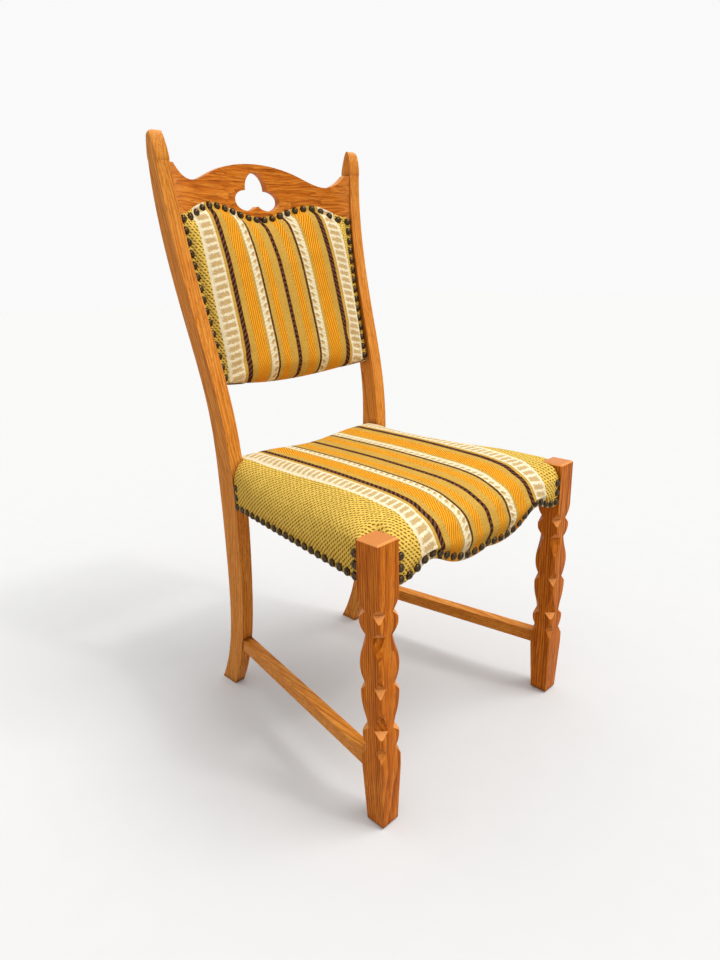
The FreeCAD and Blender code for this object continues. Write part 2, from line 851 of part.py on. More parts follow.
def spread(curve, pitch):
    """Points along a curve at even spacing, as near the pitch as fits, ends included."""
    count = max(2, round(curve.length() / pitch) + 1)
    return curve.toShape().discretize(Number=count)


def seat_front_nails():
    """Row over the apron's edge and a column beside each leg."""
    row = spread(apron_curve(nail_edge + cloth_thickness, nail_edge), nail_pitch)
    column = [row[-1] + Vector(0, 0, column_pitch * i) for i in range(1, column_nails)]
    right = [Vector(p.x, cover_setback, p.z) for p in row + column]
    left = [mirrored_point(p) for p in right if p.x > nail_radius]
    return [nail(p, Vector(0, -1, 0)) for p in right + left]


def seat_side_nails():
    """Right side: a row over the lower edge and a column at each end."""
    start = leg_size + nail_edge + cloth_gap
    stop = seat_depth - nail_edge - cloth_gap
    z = side_cover_bottom + nail_edge
    row = spread(Part.LineSegment(Vector(side_x(start, 0), start, z), Vector(side_x(stop, 0), stop, z)),
                 nail_pitch)
    columns = [end + Vector(0, 0, column_pitch * i) for end in (row[0], row[-1]) for i in range(1, column_nails)]
    outward = Vector(1, side_slope, 0)
    return [nail(p, outward) for p in row + columns]


def on_back(x, z, offset):
    """Spot on a layer of the back, and the direction that faces out at the front."""
    step = 0.5
    spot = back_face(x, z, offset)
    across = back_face(x + step, z, offset) - back_face(x - step, z, offset)
    upward = back_face(x, z + step, offset) - back_face(x, z - step, offset)
    return spot, across.cross(upward)


def back_nail_places():
    """Nails of the back's border as (x, z): along the wave on top and down both sides."""
    wave = panel_wave(nail_edge)
    low_z = back_end_height + nail_edge + cloth_thickness
    low = Vector(panel_side(low_z, nail_edge), 0, low_z)
    top = [(p.x, p.z) for p in spread(wave, nail_pitch)]
    side = [(p.x, p.z) for p in spread(Part.LineSegment(wave.EndPoint, low), nail_pitch)[1:]]
    return top + side + [(-x, z) for x, z in side]


def back_nails():
    return [nail(*on_back(x, z, -cloth_thickness - nail_gap)) for x, z in back_nail_places()]


def outside_nails():
    nails = []
    for x, z in back_nail_places():
        spot, outward = on_back(x, z, back_thickness + cloth_thickness + nail_gap)
        nails.append(nail(spot, -outward))
    return nails


# Seat webbing

def long_straps():
    start = rail_face_front + strap_edge
    stop = rear_rail_back - strap_edge
    first = -long_strap_pitch * (long_strap_count - 1) / 2
    straps = []
    for i in range(long_strap_count):
        x = first + long_strap_pitch * i
        straps.append(box(x - strap_width / 2, x + strap_width / 2, start, stop,
                          rail_top, rail_top + strap_thickness))
    return straps


def cross_straps():
    """Straps over the long ones, stepped down at both ends onto the side rails."""
    middle = (leg_size + seat_depth) / 2
    first = middle - cross_strap_pitch * (cross_strap_count - 1) / 2
    over = rail_top + strap_thickness
    straps = []
    for i in range(cross_strap_count):
        y0 = first + cross_strap_pitch * i - strap_width / 2
        y1 = y0 + strap_width
        reach = side_x(y1, cloth_thickness + strap_edge)
        step = reach - rail_thickness + strap_edge
        strap = box(-reach, reach, y0, y1, over, over + strap_thickness)
        feet = box(step, reach, y0, y1, rail_top, over)
        straps.append(strap.fuse([feet, mirrored(feet)]).removeSplitter())
    return straps


def seat_cover():
    """Shell over the pad and rails, with the apron's edge cut along the front."""
    bottom = leg_height - max(drop for _, drop in apron_edge) - cloth_thickness
    outer = seat_body(0, 0, bottom)
    inner = seat_body(cloth_thickness, cloth_thickness, bottom - cloth_gap)
    front = rail_face_front
    rear = rear_rail_back
    frame_plan = [(side_x(front, cloth_thickness), front), (side_x(rear, cloth_thickness), rear)]
    frame_plan += [(-x, y) for x, y in reversed(frame_plan)]
    frame = polygon_prism(frame_plan, 0, rail_top)
    under_apron = below_apron(0).common(box(-FAR, FAR, -FAR, leg_size / 2, 0, FAR))
    under_sides = box(-FAR, FAR, leg_size / 2, FAR, 0, side_cover_bottom)
    return outer.cut([inner, frame, under_apron, under_sides])


def seat_pad():
    inset = cloth_thickness + cloth_gap
    body = seat_body(inset, inset, side_cover_bottom)
    return body.common(box(-FAR, FAR, -FAR, FAR, pad_base, FAR))


# The whole chair

def build():
    parts = {}
    post = rear_post()
    leg = front_leg()
    posts = [post, mirrored(post)]
    post_mortises = (
        [rear_rail_tenon(joint_gap), side_rail_tenons(joint_gap)[1], stretcher_tenons(joint_gap)[1]]
        + [back_tenon(crest_tenon_low, crest_tenon_high, joint_gap)]
        + [back_tenon(lower_tenon_low, lower_tenon_high, joint_gap)]
    )
    leg_mortises = [front_rail_tenon(joint_gap), side_rail_tenons(joint_gap)[0], stretcher_tenons(joint_gap)[0]]
    right_pieces = {
        "rear_post": post.cut(post_mortises),
        "front_leg": leg.cut(leg_mortises),
        "side_seat_rail": side_rail(post),
        "side_stretcher": stretcher(leg, post),
        "back_batten": back_batten(post),
        "seat_nails": Part.makeCompound(seat_side_nails()),
    }
    screws = []
    holes = []
    for place, plan in (("front", front_block_plan()), ("rear", rear_block_plan())):
        spots = screw_spots(plan)
        screws += [screw(seat, into, 0) for seat, into in spots]
        holes += [screw(seat, into, screw_gap) for seat, into in spots]
        right_pieces["corner_block_" + place] = polygon_prism(plan, block_low, block_low + block_height)
    for name in ("corner_block_front", "corner_block_rear", "side_seat_rail"):
        right_pieces[name] = right_pieces[name].cut(holes)
    for name, shape in right_pieces.items():
        parts[name + "_right"] = shape
        parts[name + "_left"] = mirrored(shape)
    all_holes = holes + [mirrored(hole) for hole in holes]
    parts["corner_block_screws"] = Part.makeCompound(screws + [mirrored(s) for s in screws])
    parts["front_seat_rail"] = front_rail().cut(all_holes)
    parts["rear_seat_rail"] = rear_rail(posts).cut(all_holes)
    parts["crest_rail"] = crest_rail(posts)
    parts["lower_back_rail"] = lower_back_rail(posts)
    parts["seat_webbing_long"] = Part.makeCompound(long_straps())
    parts["seat_webbing_cross"] = Part.makeCompound(cross_straps())
    hessian_top = pad_base - hessian_thickness
    hessian_plan = seat_outline(hessian_edge, hessian_edge)
    parts["seat_hessian"] = polygon_prism(hessian_plan, hessian_top, pad_base)
    parts["seat_pad"] = seat_pad()
    parts["seat_cover"] = seat_cover()
    parts["seat_nails_front"] = Part.makeCompound(seat_front_nails())
    parts["back_hessian"] = back_hessian()
    parts["back_pad"] = stuffed_body(0, -hessian_thickness - cloth_gap)
    parts["back_cover"] = back_cover()
    parts["outside_back_cover"] = back_layer(back_thickness, back_thickness + cloth_thickness,
                                             panel_outline(cloth_thickness))
    parts["back_nails"] = Part.makeCompound(back_nails())
    parts["outside_back_nails"] = Part.makeCompound(outside_nails())
    return parts


def save(parts):
    """Centre the footprint on the origin and write each piece to its own file."""
    bounds = Part.makeCompound(list(parts.values())).optimalBoundingBox()
    to_middle = Vector(0, -(bounds.YMin + bounds.YMax) / 2, 0)
    os.makedirs("parts", exist_ok=True)
    for name, shape in parts.items():
        shape.translate(to_middle)
        shape.exportStep("parts/" + name + ".step")
        print(name, len(shape.Solids), round(shape.Volume / 1000, 1), shape.isValid())
    print("width", round(bounds.XLength, 1), "depth", round(bounds.YLength, 1), "height", round(bounds.ZLength, 1))


save(build())
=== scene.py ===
import math

import bmesh
import bpy
import numpy as np
from mathutils import Matrix, Vector
from mathutils.bvhtree import BVHTree


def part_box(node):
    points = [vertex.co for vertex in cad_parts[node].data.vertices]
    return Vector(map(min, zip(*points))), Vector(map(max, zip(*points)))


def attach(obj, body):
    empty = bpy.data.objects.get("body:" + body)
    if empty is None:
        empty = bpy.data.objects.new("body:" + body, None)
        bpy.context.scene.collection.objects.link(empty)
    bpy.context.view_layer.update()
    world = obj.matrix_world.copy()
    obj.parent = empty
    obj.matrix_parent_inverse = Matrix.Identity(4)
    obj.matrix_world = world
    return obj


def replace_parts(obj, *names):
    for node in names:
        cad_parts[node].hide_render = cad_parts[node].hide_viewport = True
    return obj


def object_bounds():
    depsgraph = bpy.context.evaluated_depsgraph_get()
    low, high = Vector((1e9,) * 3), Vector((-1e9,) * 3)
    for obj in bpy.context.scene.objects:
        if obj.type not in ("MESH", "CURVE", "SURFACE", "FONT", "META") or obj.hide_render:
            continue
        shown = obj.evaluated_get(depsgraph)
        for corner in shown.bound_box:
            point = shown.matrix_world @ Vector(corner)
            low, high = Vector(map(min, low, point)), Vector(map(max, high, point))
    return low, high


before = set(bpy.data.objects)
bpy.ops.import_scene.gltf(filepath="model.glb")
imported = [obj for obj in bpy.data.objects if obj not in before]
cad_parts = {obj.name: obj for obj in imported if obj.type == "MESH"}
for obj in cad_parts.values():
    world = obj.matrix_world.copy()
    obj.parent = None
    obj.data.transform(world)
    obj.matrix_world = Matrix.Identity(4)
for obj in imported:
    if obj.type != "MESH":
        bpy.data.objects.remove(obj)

# Looks of the side chair: oak grain, striped wool over stuffed seat and back, domed nails.
# Metres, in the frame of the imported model. Lengths written in millimetres carry the factor MM.

MM = 0.001
HAIR = 1e-6  # slack when two places are compared
TOUCH = 0.01 * MM  # points nearer than this touch
cad_box = [list(corner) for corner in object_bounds()]

# Camera of the photograph, measured from the middle of the front legs' front faces on the floor
camera_place = Vector((-0.8167, -0.5509, 0.8079))
camera_azimuth = math.radians(-44.48)
camera_elevation = math.radians(18.13)
camera_roll = math.radians(-1.61)
camera_focal = 681.15  # pixels
photo_height = 960  # pixels
camera_sensor = 36.0  # millimetres
camera_near = 0.05

# Cloth
cloth_thickness = 2.0 * MM
cloth_grid = 5.0 * MM  # spacing of the points on a cover
cover_levels = 1  # how often a cover is smoothed
cover_swell = 3.5 * MM  # the most that stuffing moves a point
cloth_settings = {
    "quality": 5, "mass": 0.4, "tension_stiffness": 25, "compression_stiffness": 25,
    "bending_stiffness": 4, "use_pressure": True, "uniform_pressure_force": 4.0,
}
swell_frames = 20
relax_rounds = 3
relax_share = 0.5
nail_edge = 6.5 * MM  # nail centre from the edge of the cloth
nail_radius = 5.2 * MM
nail_growth = 1.5 * MM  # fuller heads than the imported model's
nail_press = 1.3 * MM  # how deep a nail draws the cloth in
nail_reach = 10.0 * MM
nail_border = 13.0 * MM  # flat border of the cloth under the nails
cover_setback = 3.0 * MM  # nailed cloth behind the legs' front faces

# Seat: its middle line from the front edge to the rear, as (behind the front of the legs, above
# the top of the legs), before the stuffing swells
seat_line = [
    (-2.2, -38.0), (-0.2, -29.0), (6.8, -18.5), (21.0, -10.2), (45.0, -2.5), (95.0, 5.5),
    (157.0, 9.0), (236.0, 12.0), (320.0, 13.0), (418.0, 13.0),
]
seat_side_lift = 7.5 * MM  # rise of the seat beside its rolled edges
seat_lift_place = 130.0 * MM
seat_corner_lift = 4.5 * MM  # further rise beside the front legs
corner_start = 120.0 * MM  # where this starts, from the middle
corner_width = 80.0 * MM  # width over which it grows
corner_depth = 20.0 * MM  # full to this far behind the legs' front faces
corner_fade = 60.0 * MM  # depth over which it fades
front_ease_start = -2.0 * MM  # where both rises start, behind the same faces
front_ease = 22.0 * MM  # and grow over this depth
corner_hold = 28.0 * MM  # depth over which corners stay behind these faces
seat_tuck = 4.0 * MM  # cloth tucked in below the legs' tops
seat_front_bulge = 4.0 * MM
seat_side_bulge = 3.5 * MM
# Rounding of the sides: at the legs, between, and at the posts
seat_roll_width = (45.0 * MM, 72.0 * MM, 28.0 * MM)
seat_roll_height = (17.0 * MM, 52.0 * MM, 38.0 * MM)
seat_rear_roll = 14.0 * MM
front_rows = 9  # rows of points up the front
rear_roll_rows = 6  # over the rear edge
rear_wall_rows = 12  # and down behind it
side_roll_steps = 9  # points round a side
side_wall_steps = 8  # and down it
rear_roll_step = 3.0 * MM  # cloth from row to row over the rear edge
rear_wall_step = 5.0 * MM  # and down behind it

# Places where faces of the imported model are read
fit_gap = 0.4 * MM
probe_inset = 2.0 * MM  # inside the ends of a face
side_probe_rise = 12.0 * MM  # the seat's side, above its lower edge
apron_probe_depth = 4.0 * MM  # the front's lower edge, behind the legs' front faces
post_probe_drop = 25.0 * MM  # a post, below the tops of the front legs
post_probe_side = 22.0 * MM  # outside the post's inmost point
post_probe_depth = 14.0 * MM  # behind the post's front

# Back: thickness of the stuffing in front of the wood
back_stuffing = 37.0 * MM
back_rim = 11.5 * MM  # flat border under the nails
back_middle_share = 0.48  # height of the fullest part in the panel
# How the stuffing falls to its edges, as a power and a root
side_curve = (2.6, 0.4)
top_curve = (2.0, 0.38)
bottom_curve = (4.0, 0.4)
back_inset = 4.0 * MM  # the wood is read this far inside the outline
lean_step = 8.0 * MM  # and its lean over this height, up and down
usual_lean = 0.25
top_spacing = 2.0 * MM  # points on the upper edge
outside_top_place = 120.0 * MM  # where its height is taken, from the middle
wrap_rows = 5  # rows that turn in under the lower edge
wrap_step = 4.0 * MM  # cloth from one to the next

# Straps and sacking under the stuffing
strap_grid = 6.0 * MM
strap_columns = 9
strap_ease = 8.0 * MM  # length of a climb over another strap
strap_share = 0.9  # thickness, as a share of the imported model's
hessian_grid = 8.0 * MM
hessian_inset = 0.2 * MM
hessian_thickness = 0.8 * MM
hessian_sag = 1.0 * MM
sag_reach = 25.0 * MM
probe_run = 0.1  # start of a straight line, ahead of the sheet

# Light: a broad sun from the right and front, a white sky, and a floor that shows white.
# Name of each sun, its strength, its width in degrees, and where it stands
suns = [("key", 1.6, 36.0, (0.36, -0.52, 1.0)), ("spark", 0.3, 5.0, (0.25, -0.7, 0.9))]
sun_colour = (1.0, 0.98, 0.94)
sky_colour = (1.0, 0.99, 0.97, 1)
sky_low = 0.22  # strength of the sky at the horizon
sky_high = 1.15  # and overhead
backdrop = (0.95, 0.95, 0.95, 1)
floor_reach = 12.0
floor_dim = (0.702, 0.712, 0.726, 1)  # the floor as it is seen, between two close whites
floor_bright = (0.710, 0.720, 0.734, 1)
floor_bounce = (0.44, 0.36, 0.29, 1)  # light that the floor gives back to the chair
floor_glow = 0.05  # share of plain white in the floor as it is seen

# Oak, in millimetres. Noise along the grain: share of the length, scale, detail and roughness
ring_pitch = 4.0
ring_drift = 30.0  # how far the rings wander
drift_noise = (0.12, 0.035, 2.0)
fibre_noise = (0.04, 0.55, 3.0, 0.6)
streak_noise = (0.03, 0.12, 2.0)
fine_noise = (0.04, 1.3, 3.0, 0.65)
pore_noise = (0.06, 0.95, 1.0)
worn_edge = 0.9 * MM
corner_reach = 16 * MM  # how far the painted shade and dirt reach out of a corner
lacquered = 0.42  # roughness
unfinished = 0.6

# Weave, in millimetres: the stripes on one side of the middle, from the middle out
stripes = [
    ("cord", 4.2), ("plain", 17.8), ("twill", 15.5), ("plain", 10.0), ("cord", 4.0), ("plain", 1.0),
    ("chain", 16.0), ("plain", 5.5), ("twill", 25.5), ("plain", 13.0), ("cord", 10.0), ("plain", 6.5),
    ("ladder", 28.0), ("line", 5.0), ("knit", 400.0),
]
stripe_blur = 0.4
thread_pitch = 3.0
knit_row_pitch = 4.5
knit_column_pitch = 7.4
twill_pitch = 4.6
cord_pitch = 9.0
chain_pitch = 12.5
ladder_pitch = 12.5
fuzz_noise = (1.1, 3.0, 0.7)  # scale, detail and roughness
grit_noise = (0.7, 2.0, 0.6)


# Small tools

def srgb(red, green, blue):
    """Colour written as on a screen, from 0 to 255, as the linear colour that shaders take."""
    linear = []
    for value in (red, green, blue):
        share = value / 255
        linear.append(share / 12.92 if share <= 0.04045 else ((share + 0.055) / 1.055) ** 2.4)
    return (*linear, 1.0)


def smooth_line(points, spacing):
    """Points at even spacing along a smooth line through the given points."""
    points = np.array(points, float)
    padded = np.vstack([2 * points[0] - points[1], points, 2 * points[-1] - points[-2]])
    steps = 30
    fine = []
    for before, start, end, after in zip(padded, padded[1:], padded[2:], padded[3:]):
        for t in np.linspace(0, 1, steps, endpoint=False):
            fine.append(0.5 * (2 * start + (end - before) * t
                               + (2 * before - 5 * start + 4 * end - after) * t ** 2
                               + (3 * start - before - 3 * end + after) * t ** 3))
    fine = np.array(fine + [points[-1]])
    lengths = np.concatenate([[0], np.cumsum(np.linalg.norm(np.diff(fine, axis=0), axis=1))])
    count = max(2, round(lengths[-1] / spacing) + 1)
    places = np.linspace(0, lengths[-1], count)
    return np.stack([np.interp(places, lengths, column) for column in fine.T], 1)


def search_tree(node):
    """Tree that finds where straight lines meet a CAD node."""
    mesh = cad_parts[node].data
    return BVHTree.FromPolygons([v.co for v in mesh.vertices], [p.vertices for p in mesh.polygons])


def probe(tree, start, direction):
    """First point of the node on a straight line, or None."""
    return tree.ray_cast(Vector(start), Vector(direction))[0]


def solid_boxes(node):
    """Lowest and highest corners of each solid of a CAD node."""
    shape = bmesh.new()
    shape.from_mesh(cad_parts[node].data)
    bmesh.ops.remove_doubles(shape, verts=shape.verts, dist=HAIR)
    waiting = set(shape.verts)
    boxes = []
    while waiting:
        island = [waiting.pop()]
        for vertex in island:
            linked = {edge.other_vert(vertex) for edge in vertex.link_edges} & waiting
            waiting -= linked
            island.extend(linked)
        places = list(zip(*(vertex.co for vertex in island)))
        boxes.append([Vector([pick(axis) for axis in places]) for pick in (min, max)])
    shape.free()
    return boxes


def nail_places(node):
    """Middle of each nail of a CAD node."""
    return [(low + high) / 2 for low, high in solid_boxes(node)]


def new_piece(name, vertices, faces, material):
    """Object with a smooth mesh of its own."""
    mesh = bpy.data.meshes.new(name)
    mesh.from_pydata([tuple(v) for v in vertices], [], faces)
    mesh.validate()
    mesh.polygons.foreach_set("use_smooth", [True] * len(mesh.polygons))
    mesh.materials.append(material)
    piece = bpy.data.objects.new(name, mesh)
    bpy.context.scene.collection.objects.link(piece)
    return piece


def new_cover(name, points, across, along, faces):
    """Piece of striped wool. Each point keeps its place in the flat cloth, across and along the stripes."""
    piece = new_piece(name, points, faces, striped_wool)
    for way, values in (("across", across), ("along", along)):
        attribute = piece.data.attributes.new(way, "FLOAT", "POINT")
        attribute.data.foreach_set("value", np.array(values, np.float32))
    return piece


def net_faces(index, turned=False):
    """Four-sided faces of a net with gaps, from the number of the point at each row and column."""
    faces = []
    for row, column in sorted(index):
        corners = [(row, column), (row, column + 1), (row + 1, column + 1), (row + 1, column)]
        if all(corner in index for corner in corners):
            face = [index[corner] for corner in corners]
            faces.append(face[:1] + face[:0:-1] if turned else face)
    return faces


def grid_faces(rows, columns):
    """Faces of a full grid whose points are listed row by row."""
    places = [(row, column) for row in range(rows) for column in range(columns)]
    return net_faces({place: number for number, place in enumerate(places)})


def border_points(piece):
    """Points on the open edges of a sheet."""
    uses = {}
    for face in piece.data.polygons:
        for key in face.edge_keys:
            uses[key] = uses.get(key, 0) + 1
    return {i for key, count in uses.items() if count == 1 for i in key}


def point_array(piece):
    """Places of the mesh's points, one to a row."""
    places = np.zeros(len(piece.data.vertices) * 3)
    piece.data.vertices.foreach_get("co", places)
    return places.reshape(-1, 3)


def set_points(piece, places):
    piece.data.vertices.foreach_set("co", np.asarray(places, float).ravel())
    piece.data.update()


def swell(piece, held):
    """Blow the cover up as stuffing does, with the held points fixed, and cap how far a point moves."""
    before = point_array(piece)
    group = piece.vertex_groups.new(name="held")
    group.add(sorted(held), 1.0, "ADD")
    cloth = piece.modifiers.new("cloth", "CLOTH")
    cloth.settings.vertex_group_mass = group.name
    cloth.settings.effector_weights.gravity = 0
    for key, value in cloth_settings.items():
        setattr(cloth.settings, key, value)
    cloth.collision_settings.use_collision = False
    scene = bpy.context.scene
    for number in range(1, swell_frames + 1):
        scene.frame_set(number)
    evaluated = piece.evaluated_get(bpy.context.evaluated_depsgraph_get())
    after = np.array([v.co for v in evaluated.data.vertices])
    piece.modifiers.remove(cloth)
    piece.vertex_groups.remove(group)
    scene.frame_set(1)
    move = after - before
    length = np.linalg.norm(move, axis=1, keepdims=True)
    set_points(piece, before + move * np.minimum(1, cover_swell / np.maximum(length, 1e-9)))


def press_nails(piece, places):
    """Draw the cloth in round each nail."""
    points = point_array(piece)
    normals = np.array([v.normal for v in piece.data.vertices])
    for place in places:
        away = np.linalg.norm(points - np.array(place), axis=1)
        near = np.clip(1 - away / nail_reach, 0, 1)[:, None]
        points -= normals * nail_press * near ** 2 * (3 - 2 * near)
    set_points(piece, points)


def near_points(piece, places, reach):
    """Points of the piece near any of the places."""
    points = point_array(piece)
    near = set()
    for place in places:
        away = np.linalg.norm(points - np.array(place), axis=1)
        near.update(np.flatnonzero(away < reach).tolist())
    return near


def relax(piece, held):
    """Even the cloth out between the held points."""
    edges = np.array([e.vertices[:] for e in piece.data.edges])
    points = point_array(piece)
    count = np.zeros((len(points), 1))
    np.add.at(count, edges.ravel(), 1)
    free = np.ones((len(points), 1))
    free[sorted(held)] = 0
    for _ in range(relax_rounds):
        total = np.zeros_like(points)
        np.add.at(total, edges[:, 0], points[edges[:, 1]])
        np.add.at(total, edges[:, 1], points[edges[:, 0]])
        points += relax_share * free * (total / count - points)
    set_points(piece, points)


def thicken(piece, thickness, offset):
    """Give a sheet its thickness: half to each side at offset 0, all inside at -1."""
    solid = piece.modifiers.new("thickness", "SOLIDIFY")
    solid.thickness = thickness
    solid.offset = offset


def finish_cover(piece):
    """Give a cover its thickness on the inside and round it off."""
    thicken(piece, cloth_thickness, -1)
    smooth = piece.modifiers.new("smooth", "SUBSURF")
    smooth.levels = cover_levels
    smooth.render_levels = cover_levels


# Materials

def usual_sign(operation):
    """One of the usual signs between a Value and another number."""
    return lambda value, other: value.shader.math(operation, value, other)


class Value:
    """A number that varies over a surface, reckoned with by the usual signs."""

    def __init__(self, shader, socket):
        self.shader = shader
        self.socket = socket

    def __rsub__(self, other):
        return self.shader.math("SUBTRACT", other, self)

    def __abs__(self):
        return self.shader.math("ABSOLUTE", self)

    __add__ = usual_sign("ADD")
    __sub__ = usual_sign("SUBTRACT")
    __mul__ = usual_sign("MULTIPLY")
    __truediv__ = usual_sign("DIVIDE")


class Shader:
    """The node tree of a material or a world, written one node at a time."""

    def __init__(self, owner):
        owner.use_nodes = True
        self.owner = owner
        self.tree = owner.node_tree
        self.tree.nodes.clear()

    def feed(self, socket, value):
        if isinstance(value, Value):
            value = value.socket
        if isinstance(value, bpy.types.NodeSocket):
            self.tree.links.new(value, socket)
        else:
            socket.default_value = value

    def add(self, kind, inputs=(), **settings):
        node = self.tree.nodes.new("ShaderNode" + kind)
        for key, value in settings.items():
            setattr(node, key, value)
        for key, value in dict(inputs).items():
            self.feed(node.inputs[key], value)
        return node

    def math(self, operation, *values, clamp=False):
        node = self.add("Math", enumerate(values), operation=operation, use_clamp=clamp)
        return Value(self, node.outputs[0])

    def wave(self, value, pitch):
        """Sine of the value, with this pitch, from -1 to 1."""
        return self.math("SINE", value * (2 * math.pi / pitch))

    def mix(self, factor, low, high, blend="MIX"):
        node = self.add("Mix", {0: factor, 6: low, 7: high}, data_type="RGBA", blend_type=blend)
        return node.outputs[2]

    def ramp(self, factor, stops):
        """Colours between stops, each a place from 0 to 1 and a colour."""
        node = self.add("ValToRGB", {"Fac": factor})
        elements = node.color_ramp.elements
        while len(elements) < len(stops):
            elements.new(0.5)
        for element, (place, colour) in zip(elements, stops):
            element.position = place
            element.color = colour
        return node.outputs["Color"]

    def span(self, value, low, high, start=0.0, end=1.0):
        """Map low to high onto start to end, held at both ends."""
        inputs = {"Value": value, "From Min": low, "From Max": high, "To Min": start, "To Max": end}
        return Value(self, self.add("MapRange", inputs).outputs["Result"])

    def noise(self, vector, scale, detail=2.0, roughness=0.5):
        inputs = {"Vector": vector, "Scale": scale, "Detail": detail, "Roughness": roughness}
        return Value(self, self.add("TexNoise", inputs).outputs["Fac"])

    def vector(self, x, y, z):
        return self.add("CombineXYZ", {"X": x, "Y": y, "Z": z}).outputs["Vector"]

    def place(self):
        """The point of the surface in the frame, as three numbers in millimetres."""
        point = self.add("TexCoord").outputs["Object"]
        split = self.add("SeparateXYZ", {"Vector": point})
        return [self.math("MULTIPLY", axis, 1 / MM) for axis in split.outputs]

    def attribute(self, name):
        """A number kept with the mesh, in millimetres."""
        return self.math("MULTIPLY", self.add("Attribute", attribute_name=name).outputs["Fac"], 1 / MM)

    def bump(self, height, distance, strength=1.0, normal=None):
        """Relief from a height, on the surface's own normal or another one."""
        inputs = {"Height": height, "Distance": distance, "Strength": strength}
        if normal:
            inputs["Normal"] = normal
        return self.add("Bump", inputs).outputs["Normal"]

    def seen(self):
        """1 on the rays of the picture: from the camera, through glass and off a gloss."""
        rays = self.add("LightPath").outputs
        seen = self.math("MAXIMUM", rays["Is Camera Ray"], rays["Is Transmission Ray"])
        return self.math("MAXIMUM", seen, rays["Is Glossy Ray"])

    def finish(self, inputs):
        surface = self.add("BsdfPrincipled", inputs)
        self.add("OutputMaterial", {"Surface": surface.outputs["BSDF"]})
        return self.owner


def new_material(name):
    return Shader(bpy.data.materials.new(name))


# End-grain colour. It also paints the lighter edges, which are partly wear and partly a painted highlight.
end_grain_and_edge_highlight = srgb(244, 164, 92)
end_dull = srgb(196, 118, 62)
pore_brown = srgb(112, 54, 8)
# Painted shade in corners and recesses, together with the dirt that gathers there.
dirt_and_shade_brown = srgb(92, 42, 6)


def oak(name, grain_axis, heart, tones, roughness, bends=()):
    """Oak with its grain along one axis, in a light, a middle and a dark tone. The heart is where the rings
    centre, in millimetres. Each bend says which of the two sides the grain shifts to, between two places
    along it, and how far."""
    shader = new_material(name)
    light, middle, dark = tones
    point = shader.place()
    along = point[grain_axis]
    sides = [point[k] for k in range(3) if k != grain_axis]
    for side, first, last, shift in bends:
        sides[side] = sides[side] - shader.span(along, first, last, 0.0, shift)
    side_a, side_b = sides

    def drawn_out(share, *noise):
        """Noise stretched along the grain."""
        return shader.noise(shader.vector(side_a, side_b, along * share), *noise)

    drift = (drawn_out(*drift_noise) - 0.5) * ring_drift
    from_heart_a = side_a - heart[0] + drift
    from_heart_b = side_b - heart[1]
    radius = shader.math("SQRT", from_heart_a * from_heart_a + from_heart_b * from_heart_b)
    ring = shader.math("FRACT", radius / ring_pitch)
    late = shader.span(ring, 0.25, 1.0)
    fibre = drawn_out(*fibre_noise)
    tone = late * 0.22 + fibre * 0.62 + drawn_out(*streak_noise) * 0.36
    colour = shader.ramp(tone, [(0.38, light), (0.58, middle), (0.80, dark)])
    early = shader.span(ring, 0.6, 0.1, 0.35, 1.0)
    pore = shader.span(drawn_out(*pore_noise), 0.56, 0.68) * early
    colour = shader.mix(pore * 0.6, colour, pore_brown)
    height = drawn_out(*fine_noise) * 0.4 - pore

    worn = shader.add("Bevel", {"Radius": worn_edge}, samples=6).outputs["Normal"]
    true = shader.add("NewGeometry").outputs["Normal"]
    end = shader.math("ABSOLUTE", shader.add("SeparateXYZ", {"Vector": true}).outputs[grain_axis])
    colour = shader.mix(shader.span(end, 0.36, 0.56, 0.0, 0.85), colour, end_grain_and_edge_highlight)
    colour = shader.mix(shader.span(end, 0.85, 0.99, 0.0, 0.65), colour, end_dull)
    # Edges lighter: partly wear, partly a painted highlight along them.
    edge_wear_and_highlight = shader.add("VectorMath", {0: worn, 1: true}, operation="DOT_PRODUCT").outputs["Value"]
    colour = shader.mix(shader.span(edge_wear_and_highlight, 0.995, 0.93, 0.0, 0.35), colour, end_grain_and_edge_highlight)
    # Corners and recesses darker by ambient occlusion: painted shade, together with the dirt that gathers
    # there.
    open_share = shader.add("AmbientOcclusion", {"Distance": corner_reach}, samples=8).outputs["AO"]
    colour = shader.mix(shader.span(open_share, 0.9, 0.4, 0.0, 0.7), colour, dirt_and_shade_brown)
    return shader.finish({
        "Base Color": colour,
        "Roughness": shader.span(fibre, 0.3, 0.7, roughness - 0.06, roughness + 0.08),
        "Specular IOR Level": 0.1,
        "Normal": shader.bump(height, 0.35 * MM, 0.6, worn),
    })


